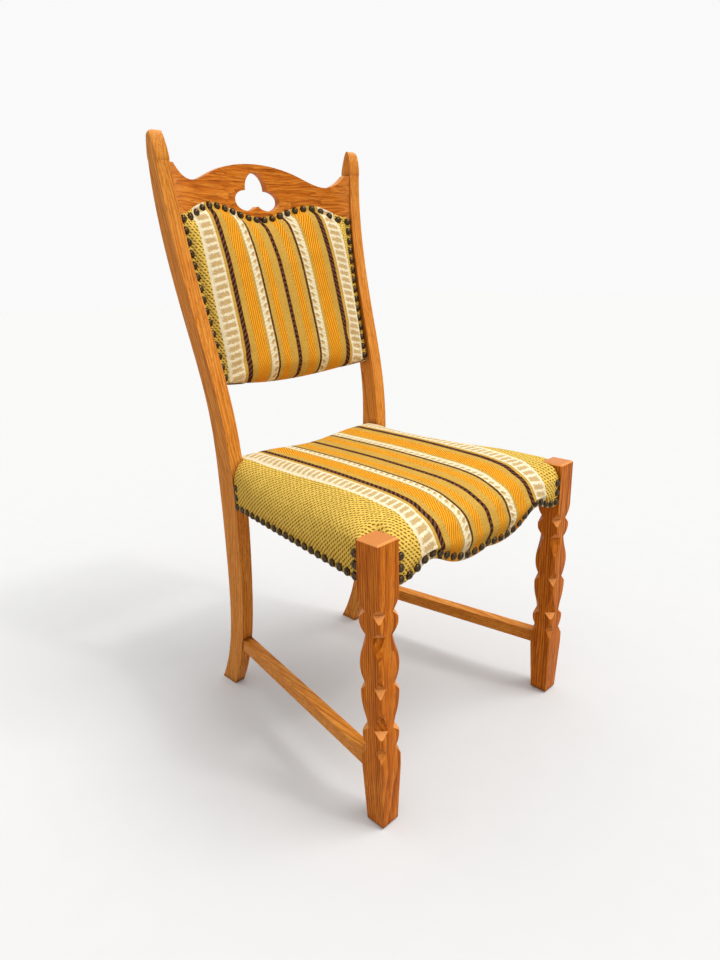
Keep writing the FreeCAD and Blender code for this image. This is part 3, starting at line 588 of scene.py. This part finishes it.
def wool():
    """Woven stripes, each with its own yarn pattern and relief."""
    shader = new_material("striped_wool")
    across = shader.attribute("across")
    along = shader.attribute("along")
    flat = shader.vector(across, along, 0.0)
    wander = shader.noise(flat, 0.35) - 0.5
    middle = abs(across + wander * 1.8)
    fuzz = shader.noise(flat, *fuzz_noise)
    grit = shader.noise(flat, *grit_noise)
    patch = shader.noise(flat, 0.05)

    masks = {}
    centred = {}
    start = 0.0
    for kind, width in stripes:
        end = start + width
        inside = shader.span(middle, end + stripe_blur, end - stripe_blur)
        half = width / 2 if start else width
        if start:
            inside = inside * shader.span(middle, start - stripe_blur, start + stripe_blur)
        local = (middle - (end - half)) / half * inside
        masks[kind] = masks[kind] + inside if kind in masks else inside
        centred[kind] = centred[kind] + local if kind in centred else local
        start = end

    mustard = srgb(250, 206, 98)
    mustard_dark = srgb(164, 112, 28)
    knit_light = srgb(255, 220, 104)
    knit_dark = srgb(142, 78, 4)
    orange = srgb(255, 194, 56)
    orange_dark = srgb(224, 120, 4)
    cream = srgb(252, 241, 206)
    cream_dark = srgb(226, 204, 152)
    beige = srgb(206, 162, 84)
    brown = srgb(156, 102, 78)
    brown_dark = srgb(48, 22, 14)

    thread = shader.wave(across, thread_pitch) * shader.wave(along, thread_pitch)
    plain_height = shader.span(thread, -0.8, 0.8, 0.0, 0.4) + shader.span(grit, 0.36, 0.62, 0.0, 0.6)
    colour = shader.mix(plain_height, mustard_dark, mustard)

    bend = (shader.noise(flat, 0.16) - 0.5) * 5.0
    row = (along + bend) / knit_row_pitch
    shift = shader.math("MODULO", shader.math("FLOOR", row), 2.0) * 0.5
    row_place = shader.math("FRACT", row) - 0.5
    column = (across - bend) / knit_column_pitch
    column_place = shader.math("FRACT", column + shift) - 0.5
    gap_long = (column_place * knit_column_pitch + row_place * 3.4) / 2.0
    gap_short = row_place * 2.7
    knit_height = shader.span(gap_long * gap_long + gap_short * gap_short, 0.1, 1.3)
    knit = shader.mix(knit_height * shader.span(grit, 0.25, 0.65, 0.62, 1.0), knit_dark, knit_light)

    slant = across + bend * 0.3 - along * 0.6
    twill_height = shader.span(shader.wave(slant, twill_pitch), -0.9, 0.5)
    twill = shader.mix(twill_height * shader.span(grit, 0.25, 0.6, 0.6, 1.0), orange_dark, orange)

    turn = along + centred["cord"] * 4.4 + wander * 8.0
    strand = shader.span(shader.wave(turn, cord_pitch), -0.6, 0.8)
    cord = shader.mix(strand * shader.span(fuzz, 0.35, 0.65), brown_dark, brown)

    twist = along + centred["chain"] * 4.0 + wander * 5.0
    eye_edge = (shader.wave(twist, chain_pitch) + 0.45) * 0.40 - abs(centred["chain"] + 0.34)
    eye = shader.span(eye_edge, -0.1, 0.2) * shader.span(fuzz, 0.3, 0.55, 0.55, 0.95)
    stitch = shader.span(shader.wave(twist, chain_pitch / 2), 0.1, -0.9)
    stitch = stitch * shader.span(grit, 0.3, 0.6, 0.4, 1.0)
    chain = shader.mix(eye, shader.mix(stitch * 0.7, cream, cream_dark), beige)

    climb = along + centred["ladder"] * 2.6 + wander * 9.0
    block = shader.span(shader.wave(climb, ladder_pitch), -0.75, 0.0)
    scallop = shader.wave(climb, ladder_pitch / 2) * 0.08 + 0.86
    block_side = shader.span(abs(centred["ladder"] - 0.08) - scallop, 0.12, -0.2)
    ladder_low = block * block_side * shader.span(grit, 0.3, 0.55, 0.3, 1.0)
    ladder = shader.mix(ladder_low * 0.9, cream, beige)

    paints = {"knit": knit, "twill": twill, "chain": chain, "ladder": ladder, "line": cream, "cord": cord}
    for kind, paint in paints.items():
        colour = shader.mix(masks[kind], colour, paint)
    shade = shader.span(fuzz, 0.28, 0.72, 0.82, 1.12) * shader.span(patch, 0.3, 0.7, 0.95, 1.04)
    grey = shader.add("CombineColor", {"Red": shade, "Green": shade, "Blue": shade}).outputs["Color"]
    colour = shader.mix(1.0, colour, grey, "MULTIPLY")

    flank = centred["cord"] * centred["cord"]
    round_cord = shader.math("SQRT", shader.math("SUBTRACT", 1.0, flank, clamp=True))
    heights = {
        "plain": plain_height * 0.35,
        "knit": knit_height,
        "twill": twill_height * 0.6 + 0.1,
        "cord": round_cord + strand * 0.5,
        "chain": 1.1 - eye * 0.7 - stitch * 0.4,
        "ladder": 0.8 - ladder_low * 0.5,
        "line": fuzz * 0.3 + 0.7,
    }
    height = fuzz * 0.4
    for kind, value in heights.items():
        height = height + masks[kind] * value
    return shader.finish({
        "Base Color": colour,
        "Roughness": 0.92,
        "Specular IOR Level": 0.1,
        "Normal": shader.bump(height, 1.4 * MM),
    })


def woven(name, pitch, light, dark):
    """Plain weave of coarse yarn, for straps and sacking."""
    shader = new_material(name)
    x, y, z = shader.place()
    check = shader.wave(x, pitch) * shader.wave(y, pitch)
    fuzz = shader.noise(shader.vector(x, y, z), 0.8, 3.0, 0.7)
    tone = shader.span(check, -1.0, 1.0, 0.0, 0.6) + fuzz * 0.5
    return shader.finish({
        "Base Color": shader.ramp(tone, [(0.25, dark), (0.75, light)]),
        "Roughness": 0.95,
        "Normal": shader.bump(tone, 0.6 * MM),
    })


def bronze():
    """Dark antique finish with brighter rubbed patches."""
    shader = new_material("nail_bronze")
    point = shader.vector(*shader.place())
    patch = shader.noise(point, 0.35, 3.0)
    grain = shader.noise(point, 2.2)
    return shader.finish({
        "Base Color": shader.ramp(patch, [(0.35, srgb(44, 35, 25)), (0.65, srgb(92, 74, 52))]),
        "Metallic": 1.0,
        "Roughness": shader.span(grain, 0.3, 0.7, 0.2, 0.38),
        "Normal": shader.bump(grain, 0.15 * MM, 0.5),
    })


def steel():
    """Dull steel of the screws."""
    shader = new_material("screw_steel")
    grain = shader.noise(shader.vector(*shader.place()), 1.5, 3.0)
    return shader.finish({
        "Base Color": shader.ramp(grain, [(0.35, srgb(120, 112, 96)), (0.7, srgb(178, 170, 150))]),
        "Metallic": 0.9,
        "Roughness": shader.span(grain, 0.3, 0.7, 0.32, 0.5),
    })


# Light, middle and dark tones
oak_tones = (srgb(232, 146, 48), srgb(200, 106, 16), srgb(136, 62, 4))
pale_tones = (srgb(244, 172, 80), srgb(224, 140, 50), srgb(184, 100, 26))
crest_tones = (srgb(238, 152, 54), srgb(212, 118, 26), srgb(150, 70, 6))
frame_tones = (srgb(226, 190, 138), srgb(206, 164, 108), srgb(176, 130, 78))

# Grain that follows the curve of a post and the bow of the crest rail, in millimetres
post_bends = [(1, 440.0, 960.0, 92.0), (1, 440.0, 0.0, 75.0)]
post_lean = 46.0  # how far a post goes outwards from the floor to its top
crest_bow = [(0.0, 70.0, -5.4), (70.0, 140.0, -16.4), (140.0, 200.0, -21.0)]
crest_bends = [(0, sign * first, sign * last, shift) for sign in (-1, 1) for first, last, shift in crest_bow]

upright_oak = oak("oak_upright", 2, (-90.0, 260.0), oak_tones, lacquered)
post_oak = {}
for side, sign in (("left", -1), ("right", 1)):
    bends = post_bends + [(0, 0.0, 960.0, sign * post_lean)]
    post_oak[side] = oak("oak_post_" + side, 2, (-900.0, 900.0), pale_tones, lacquered, bends)
long_oak = oak("oak_long", 1, (30.0, 700.0), pale_tones, lacquered)
crest_oak = oak("oak_crest", 0, (420.0, 860.0), crest_tones, lacquered, crest_bends)
long_frame_wood = oak("frame_wood_long", 1, (60.0, 500.0), frame_tones, unfinished)
cross_frame_wood = oak("frame_wood_cross", 0, (90.0, 500.0), frame_tones, unfinished)
striped_wool = wool()
webbing = woven("webbing", 3.2, srgb(196, 160, 108), srgb(120, 88, 50))
hessian = woven("hessian", 2.4, srgb(190, 156, 110), srgb(126, 94, 56))
nail_bronze = bronze()
screw_steel = steel()

nail_nodes = ["seat_nails_left", "seat_nails_right", "seat_nails_front", "back_nails", "outside_back_nails"]
node_materials = {
    "crest_rail": crest_oak,
    "front_seat_rail": cross_frame_wood,
    "rear_seat_rail": cross_frame_wood,
    "lower_back_rail": cross_frame_wood,
    "corner_block_screws": screw_steel,
    "seat_webbing_long": webbing,
    "seat_webbing_cross": webbing,
    "seat_hessian": hessian,
    "back_hessian": hessian,
}
paired_materials = {
    "front_leg": upright_oak,
    "back_batten": upright_oak,
    "side_stretcher": long_oak,
    "side_seat_rail": long_frame_wood,
    "corner_block_front": cross_frame_wood,
    "corner_block_rear": cross_frame_wood,
}
for side in ("left", "right"):
    node_materials["rear_post_" + side] = post_oak[side]
    for pair, material in paired_materials.items():
        node_materials[pair + "_" + side] = material
for name in nail_nodes:
    node_materials[name] = nail_bronze
for name, material in node_materials.items():
    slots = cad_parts[name].data.materials
    slots.clear()
    slots.append(material)


# Fuller heads on the nails

for name in nail_nodes:
    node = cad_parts[name]
    weld = node.modifiers.new("weld", "WELD")
    weld.merge_threshold = TOUCH
    grow = node.modifiers.new("head", "DISPLACE")
    grow.strength = nail_growth
    grow.mid_level = 0.0
    shading = node.modifiers.new("shading", "WEIGHTED_NORMAL")
    shading.keep_sharp = False


# Seat cover: a grid over the top, with flaps down the sides, notched round legs and posts

leg_low, leg_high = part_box("front_leg_right")
front_y = leg_low.y
nailed_y = front_y + cover_setback
leg_back = leg_high.y
leg_top = leg_high.z
side_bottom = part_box("side_seat_rail_right")[0].z - cloth_thickness
rear_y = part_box("rear_seat_rail")[1].y + cloth_thickness
cover_tree = search_tree("seat_cover")
post_tree = search_tree("rear_post_right")
post_level = leg_top - post_probe_drop
post_middle_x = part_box("rear_post_right")[0].x + post_probe_side
post_front = probe(post_tree, (post_middle_x, -1, post_level), (0, 1, 0)).y - fit_gap
post_inner = probe(post_tree, (0, post_front + post_probe_depth, post_level), (1, 0, 0)).x - fit_gap
front_half = leg_low.x - fit_gap
leg_line = leg_back + fit_gap
side_level = side_bottom + side_probe_rise
face_front = probe(cover_tree, (1, leg_back + probe_inset, side_level), (-1, 0, 0)).x
face_rear = probe(cover_tree, (1, post_front - probe_inset, side_level), (-1, 0, 0)).x
face_slope = (face_rear - face_front) * probe_inset / (post_front - leg_back)
seat_side_front = face_front + face_slope
seat_side_rear = face_rear - face_slope


def line_share(y):
    """0 at the back of the front legs, 1 at the front of the posts."""
    return min(max((y - leg_line) / (post_front - leg_line), 0), 1)


def top_half(y):
    """Half width of the seat's top between its rolled edges."""
    return front_half + (post_inner - front_half) * line_share(y)


def along_side(values, y):
    """A size along the seat's side, from its values at the legs, between and at the posts."""
    share = line_share(y)
    front, middle, rear = values
    ends = front + (rear - front) * share
    return ends + (middle - (front + rear) / 2) * math.sin(math.pi * share)


def seat_outer(y):
    """Outer face of the cover on the right side."""
    return seat_side_front + (seat_side_rear - seat_side_front) * line_share(y)


def side_fall(x, y):
    """How far the rounded side has fallen at this distance from the middle."""
    width = along_side(seat_roll_width, y)
    share = max(0.0, 1 - (seat_outer(y) - abs(x)) / width)
    return along_side(seat_roll_height, y) * (1 - math.sqrt(max(0.0, 1 - min(share, 1.0) ** 2)))


def apron_bottom(x):
    """Lower edge of the cover on the front, read from the frame."""
    inside = min(abs(x), front_half - probe_inset)
    return probe(cover_tree, (inside, front_y + apron_probe_depth, 0), (0, 0, 1)).z


def ease(value):
    """Smooth step from 0 to 1."""
    value = min(max(value, 0.0), 1.0)
    return value * value * (3 - 2 * value)


def seat_rise(x, y):
    """How much the seat's top stands above its middle line."""
    behind = y - front_y
    lift = seat_side_lift * ease(abs(x) / seat_lift_place)
    beside_leg = ease((abs(x) - corner_start) / corner_width)
    beside_leg *= 1 - ease((behind - corner_depth) / corner_fade)
    over_front = ease((behind - front_ease_start) / front_ease)
    return (lift + seat_corner_lift * beside_leg - side_fall(x, y)) * over_front


def seat_rows():
    """Depth and height of each row on the seat's middle line, from front to rear. The nearest rows are moved
    to the back of the legs and the front of the posts."""
    line = smooth_line(np.array(seat_line) * MM, cloth_grid)
    top = [(front_y + y, leg_top + z) for y, z in line]
    for edge in (leg_line, post_front):
        nearest = min(range(len(top)), key=lambda k: abs(top[k][0] - edge))
        top[nearest] = (edge, top[nearest][1])
    return top


class Net:
    """Points of a cover by row and column, with their places in the flat cloth."""

    def __init__(self):
        self.points = []
        self.across = []
        self.along = []
        self.index = {}

    def keep(self, row, column, place, across, along):
        self.index[(row, column)] = len(self.points)
        self.points.append(place)
        self.across.append(across)
        self.along.append(along)


def seat_column(net, top, column, share):
    """One column of the cover: up the front, over the top and down behind."""
    first_y, first_z = top[0]
    last_y, last_z = top[-1]
    x = share * front_half
    low = apron_bottom(x)
    side_hold = abs(share) ** 4
    crown_y = first_y + (nailed_y - first_y) * side_hold
    crown_z = first_z + seat_rise(x, first_y)
    for row in range(front_rows):
        z = low + (crown_z - low) * (row / front_rows)
        loose = max(0.0, (z - low - nail_border) / (crown_z - low - nail_border))
        bulge = seat_front_bulge * math.sin(math.pi * loose) * (1 - side_hold)
        y = nailed_y + (crown_y - nailed_y) * loose - bulge
        net.keep(row, column, (x, y, z), x, z - crown_z + first_y)
    row = front_rows
    distance = 0.0
    before = top[0]
    for y, z in top:
        distance += math.hypot(y - before[0], z - before[1])
        before = (y, z)
        x = share * top_half(y)
        hold = side_hold * max(0.0, 1 - (y - first_y) / corner_hold)
        y_here = max(y, y + (nailed_y - y) * hold)
        z_here = z + seat_rise(x, y)
        if abs(share) == 1 and y < leg_line + HAIR:
            z_here = min(z_here, leg_top - seat_tuck)
        net.keep(row, column, (x, y_here, z_here), x, first_y + distance)
        row += 1
    crest = last_z + seat_rise(x, last_y)
    for n in range(1, rear_roll_rows + 1):
        angle = math.pi / 2 * n / rear_roll_rows
        y = last_y + (rear_y - last_y) * math.sin(angle)
        z = crest - seat_rear_roll * (1 - math.cos(angle))
        net.keep(row, column, (x, y, z), x, first_y + distance + n * rear_roll_step)
        row += 1
    distance += rear_roll_rows * rear_roll_step
    for n in range(1, rear_wall_rows + 1):
        z = crest - seat_rear_roll + (side_bottom - crest + seat_rear_roll) * n / rear_wall_rows
        net.keep(row, column, (x, rear_y, z), x, first_y + distance + n * rear_wall_step)
        row += 1


def seat_flaps(net, row, edge_column, y, top_z):
    """Both ends of one row: rounded over the sides and down to the nails."""
    half = top_half(y)
    outer = seat_outer(y)
    width = along_side(seat_roll_width, y)
    crown = top_z + seat_rise(half, y) + side_fall(half, y)
    wall_top = crown - along_side(seat_roll_height, y)
    fall = wall_top - side_bottom
    middle = math.sin(math.pi * line_share(y)) ** 0.5
    start_angle = math.asin(max(0.0, 1 - (outer - half) / width))
    along = net.along[net.index[(row, edge_column)]]
    for sign in (-1, 1):
        across = half
        before = (half, crown - side_fall(half, y))
        for step in range(1, side_roll_steps + side_wall_steps + 1):
            if step <= side_roll_steps:
                angle = start_angle + (math.pi / 2 - start_angle) * step / side_roll_steps
                x = outer - width * (1 - math.sin(angle))
                z = crown - (crown - wall_top) * (1 - math.cos(angle))
            else:
                part = (step - side_roll_steps) / side_wall_steps
                z = wall_top - fall * part
                loose = min(1.0, part * fall / (fall - nail_border))
                x = outer + seat_side_bulge * math.sin(math.pi * loose) * middle
            across += math.hypot(x - before[0], z - before[1])
            before = (x, z)
            if y < leg_line + HAIR:
                z = min(z, leg_top - seat_tuck)
            net.keep(row, sign * (edge_column + step), (sign * x, y, z), sign * across, along)


def seat_cover():
    """The cover and its flaps, swollen by the stuffing and drawn in at the nails."""
    top = seat_rows()
    edge_column = round(front_half / cloth_grid)
    net = Net()
    for k, share in enumerate(np.linspace(-1, 1, 2 * edge_column + 1)):
        seat_column(net, top, k - edge_column, share)
    for n, (y, z) in enumerate(top):
        if leg_line - HAIR <= y <= post_front + HAIR:
            seat_flaps(net, front_rows + n, edge_column, y, z)
    piece = new_cover("seat_upholstery", net.points, net.across, net.along, net_faces(net.index))
    nails = [place for side in ("front", "left", "right") for place in nail_places("seat_nails_" + side)]
    held = border_points(piece) | near_points(piece, nails, nail_border)
    swell(piece, held)
    relax(piece, held)
    press_nails(piece, nails)
    finish_cover(piece)
    return piece


# Back cover and outside back cover

outside_tree = search_tree("outside_back_cover")
crest_tree = search_tree("crest_rail")
crest_low, crest_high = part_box("crest_rail")
crest_level = (crest_low.z + crest_high.z) / 2
crest_side = crest_high.x / 2
back_depth = probe(crest_tree, (crest_side, 1, crest_level), (0, -1, 0)).y
back_depth -= probe(crest_tree, (crest_side, -1, crest_level), (0, 1, 0)).y
back_nails = nail_places("back_nails")
corner_nail = max(back_nails, key=lambda p: p.x)
top_nails = sorted((p for p in back_nails if p.z > corner_nail.z - nail_radius), key=lambda p: p.x)
low_nail = min((p for p in back_nails if p.x > 0), key=lambda p: p.z)
panel_middle_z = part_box("back_cover")[0].z
panel_end_z = low_nail.z - nail_edge - cloth_thickness
top_line = smooth_line([(p.x, p.z) for p in top_nails], top_spacing)


def panel_half(z):
    """Half width of the back cover at a height."""
    share = (z - low_nail.z) / (corner_nail.z - low_nail.z)
    return low_nail.x + (corner_nail.x - low_nail.x) * share + nail_edge


def panel_top(x):
    """Upper edge of the back cover, beyond its nails."""
    return float(np.interp(x, top_line[:, 0], top_line[:, 1])) + nail_edge


def panel_bottom(x):
    """Lower edge of the back cover."""
    return panel_middle_z + (panel_end_z - panel_middle_z) * (x / panel_half(panel_end_z)) ** 2


def wood_front(x, z):
    """Front of the wood behind the back cover, read from the sheet on the far side of it."""
    half = panel_half(z) - back_inset
    inside_x = min(max(x, -half), half)
    inside_z = min(max(z, panel_bottom(inside_x) + back_inset), panel_top(inside_x) - back_inset)
    rises = (0, lean_step, -lean_step)
    here, above, below = [probe(outside_tree, (inside_x, -1, inside_z + rise), (0, 1, 0)) for rise in rises]
    lean = usual_lean
    if above and below:
        lean = (above.y - below.y) / (2 * lean_step)
    return here.y - back_depth + lean * (z - inside_z)


def fullness(share, power, root):
    """1 in the middle of the stuffing, falling to 0 at its edge."""
    return (1 - min(abs(share), 1.0) ** power) ** root


def stuffing(x, z):
    """How far the cover stands in front of the wood."""
    side = abs(x) / (panel_half(z) - back_rim)
    bottom = panel_bottom(x)
    top = panel_top(x) - back_rim
    middle = bottom + (top - bottom) * back_middle_share
    if z > middle:
        rise = fullness((z - middle) / (top - middle), *top_curve)
    else:
        rise = fullness((middle - z) / (middle - bottom), *bottom_curve)
    return cloth_thickness + back_stuffing * fullness(side, *side_curve) * rise


def back_grid(depth_of, wrap):
    """Grid over the back's outline: points, places in the cloth and faces."""
    columns = 2 * round(panel_half(corner_nail.z) / cloth_grid) + 1
    rows = round((panel_top(0) - panel_bottom(0)) / cloth_grid) + 1
    points = []
    across = []
    along = []
    for row in range(-wrap, rows):
        for share in np.linspace(-1, 1, columns):
            x = share * panel_half(0.5 * (panel_end_z + corner_nail.z))
            low = panel_bottom(x)
            height = low + (panel_top(x) - low) * max(row, 0) / (rows - 1)
            x = share * panel_half(height)
            y = depth_of(x, height)
            if row < 0:
                y += (back_depth + 2 * cloth_thickness) * -row / wrap
            points.append((x, y, height))
            along.append(height + min(row, 0) * wrap_step)
        places = np.array(points[-columns:])
        steps = np.linalg.norm(np.diff(places[:, :2], axis=0), axis=1)
        lengths = np.concatenate([[0], np.cumsum(steps)])
        across.extend(lengths - lengths[columns // 2])
    return points, across, along, grid_faces(rows + wrap, columns)


def back_cover():
    """The cover over the stuffing, turned in under its lower edge."""
    grid = back_grid(lambda x, z: wood_front(x, z) - stuffing(x, z), wrap_rows)
    piece = new_cover("back_upholstery", *grid)
    places = point_array(piece)
    rim = {i for i, (x, y, z) in enumerate(places)
           if abs(x) > panel_half(z) - back_rim or z > panel_top(x) - back_rim or y > wood_front(x, z)}
    swell(piece, rim | border_points(piece))
    press_nails(piece, back_nails)
    finish_cover(piece)
    return piece


def outside_cover():
    """The flat sheet on the rear of the back."""
    points, across, along, faces = back_grid(lambda x, z: wood_front(x, z) + back_depth + cloth_thickness, 0)
    piece = new_cover("outside_back", points, across, along, [face[::-1] for face in faces])
    finish_cover(piece)
    return piece


# Straps and sacking under the stuffing

long_straps = sorted(solid_boxes("seat_webbing_long"), key=lambda box: box[0].x)
cross_straps = sorted(solid_boxes("seat_webbing_cross"), key=lambda box: box[0].y)
strap_thickness = long_straps[0][1].z - long_straps[0][0].z


def inside_share(value, low, high, reach):
    """1 between low and high, easing to 0 at this reach outside them."""
    return ease(1 - max(low - value, value - high, 0.0) / reach)


def strap(name, box, axis, crossed):
    """One strap along an axis, lying over the straps that it crosses."""
    low, high = box
    side = 1 - axis
    count = round((high[axis] - low[axis]) / strap_grid) + 1
    points = []
    for place in np.linspace(low[axis], high[axis], count):
        climb = max([inside_share(place, a[axis], b[axis], strap_ease) for a, b in crossed], default=0.0)
        for across in np.linspace(low[side], high[side], strap_columns):
            point = Vector((0, 0, low.z + strap_thickness * (0.5 + climb)))
            point[axis] = place
            point[side] = across
            points.append(point)
    piece = new_piece(name, points, grid_faces(count, strap_columns), webbing)
    thicken(piece, strap_thickness * strap_share, 0)
    high[side] - low[side]
    high[axis] - low[axis]
    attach(piece, "root")
    return piece


def sacking(name, node, axis, sag):
    """Sheet in the place of a CAD node, found by straight lines along one axis."""
    tree = search_tree(node)
    low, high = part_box(node)
    sides = [k for k in range(3) if k != axis]
    counts = [math.ceil((high[k] - low[k]) / hessian_grid) for k in sides]
    way = Vector((0, 0, 0))
    way[axis] = 1
    index = {}
    points = []
    for i in range(counts[0] + 1):
        for j in range(counts[1] + 1):
            start = Vector((0, 0, 0))
            start[axis] = low[axis] - probe_run
            for k, share in ((sides[0], i / counts[0]), (sides[1], j / counts[1])):
                start[k] = low[k] + hessian_inset + (high[k] - low[k] - 2 * hessian_inset) * share
            near = probe(tree, start, way)
            if near is None:
                continue
            far = probe(tree, near + way * TOUCH, way) or near
            index[(i, j)] = len(points)
            points.append((near + far) / 2 - way * sag(near))
    piece = new_piece(name, points, net_faces(index, True), hessian)
    thicken(piece, hessian_thickness, 0)
    extent = [max(p[k] for p in points) - min(p[k] for p in points) for k in range(3)]
    size = [extent[k] for k in sides]
    if axis == 1:
        size[1] = math.hypot(size[1], extent[1])
    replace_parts(piece, node)
    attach(piece, "root")


def seat_sag(point):
    """The sacking gives way a little between the straps."""
    over_long = max(inside_share(point.x, a.x, b.x, sag_reach) for a, b in long_straps)
    over_cross = max(inside_share(point.y, a.y, b.y, sag_reach) for a, b in cross_straps)
    return hessian_sag * (1 - max(over_long, over_cross))


for number, box in enumerate(long_straps):
    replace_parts(strap("webbing_long_" + str(number + 1), box, 1, []), "seat_webbing_long")
for number, box in enumerate(cross_straps):
    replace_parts(strap("webbing_cross_" + str(number + 1), box, 0, long_straps), "seat_webbing_cross")
sacking("hessian_seat", "seat_hessian", 2, seat_sag)
sacking("hessian_back", "back_hessian", 1, lambda point: 0.0)

seat = seat_cover()
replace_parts(seat, "seat_cover", "seat_pad")
back = back_cover()
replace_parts(back, "back_cover", "back_pad")
outside = outside_cover()
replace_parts(outside, "outside_back_cover")
outside_size = (2 * panel_half(corner_nail.z), panel_top(outside_top_place) - panel_middle_z)
for piece in (seat, back, outside):
    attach(piece, "root")


# Stage, light and camera

def floor_material():
    """White floor that keeps the shadow and otherwise shows white to the camera."""
    shader = new_material("studio_floor")
    grain = shader.noise(shader.vector(*shader.place()), 0.02)
    seen = shader.seen()
    white = shader.ramp(grain, [(0.3, floor_dim), (0.7, floor_bright)])
    diffuse = shader.add("BsdfDiffuse", {"Color": shader.mix(seen, floor_bounce, white)})
    glow = shader.add("Emission", {"Color": (1, 1, 1, 1), "Strength": 1.0})
    mixed = shader.add("MixShader", {0: seen * floor_glow, 1: diffuse.outputs[0], 2: glow.outputs[0]})
    shader.add("OutputMaterial", {"Surface": mixed.outputs[0]})
    return shader.owner


def build_stage():
    ways = ((-1, -1), (1, -1), (1, 1), (-1, 1))
    corners = [(x * floor_reach, y * floor_reach, 0) for x, y in ways]
    floor = new_piece("studio_floor", corners, [[0, 1, 2, 3]], floor_material())
    floor.location.z = cad_box[0][2]


def build_world():
    """Sky that lights the chair from above, with a white backdrop where it is seen."""
    world = bpy.data.worlds.new("studio")
    bpy.context.scene.world = world
    shader = Shader(world)
    way = shader.add("TexCoord").outputs["Generated"]
    climb = shader.add("SeparateXYZ", {"Vector": way}).outputs["Z"]
    strength = shader.span(climb, 0.0, 1.0, sky_low, sky_high)
    sky = shader.add("Background", {"Color": sky_colour, "Strength": strength})
    white = shader.add("Background", {"Color": backdrop})
    mixed = shader.add("MixShader", {0: shader.seen(), 1: sky.outputs[0], 2: white.outputs[0]})
    shader.add("OutputWorld", {"Surface": mixed.outputs[0]})


def build_sun(name, strength, spread, way):
    data = bpy.data.lights.new(name, "SUN")
    data.energy = strength
    data.angle = math.radians(spread)
    data.color = sun_colour
    sun = bpy.data.objects.new(name, data)
    sun.rotation_euler = Vector(way).to_track_quat("Z", "Y").to_euler()
    bpy.context.scene.collection.objects.link(sun)


def build_camera():
    data = bpy.data.cameras.new("photo_camera")
    data.sensor_fit = "VERTICAL"
    data.sensor_height = camera_sensor
    data.lens = camera_focal / photo_height * camera_sensor
    data.clip_start = camera_near
    camera = bpy.data.objects.new("photo_camera", data)
    place = Matrix.Translation(camera_place + Vector((0, front_y, 0)))
    turn = Matrix.Rotation(camera_azimuth, 4, "Z")
    tilt = Matrix.Rotation(math.pi / 2 - camera_elevation, 4, "X")
    roll = Matrix.Rotation(camera_roll, 4, "Z")
    camera.matrix_world = place @ turn @ tilt @ roll
    bpy.context.scene.collection.objects.link(camera)
    bpy.context.scene.camera = camera


build_stage()
build_world()
for sun in suns:
    build_sun(*sun)
build_camera()
bpy.context.scene.view_settings.view_transform = "Standard"
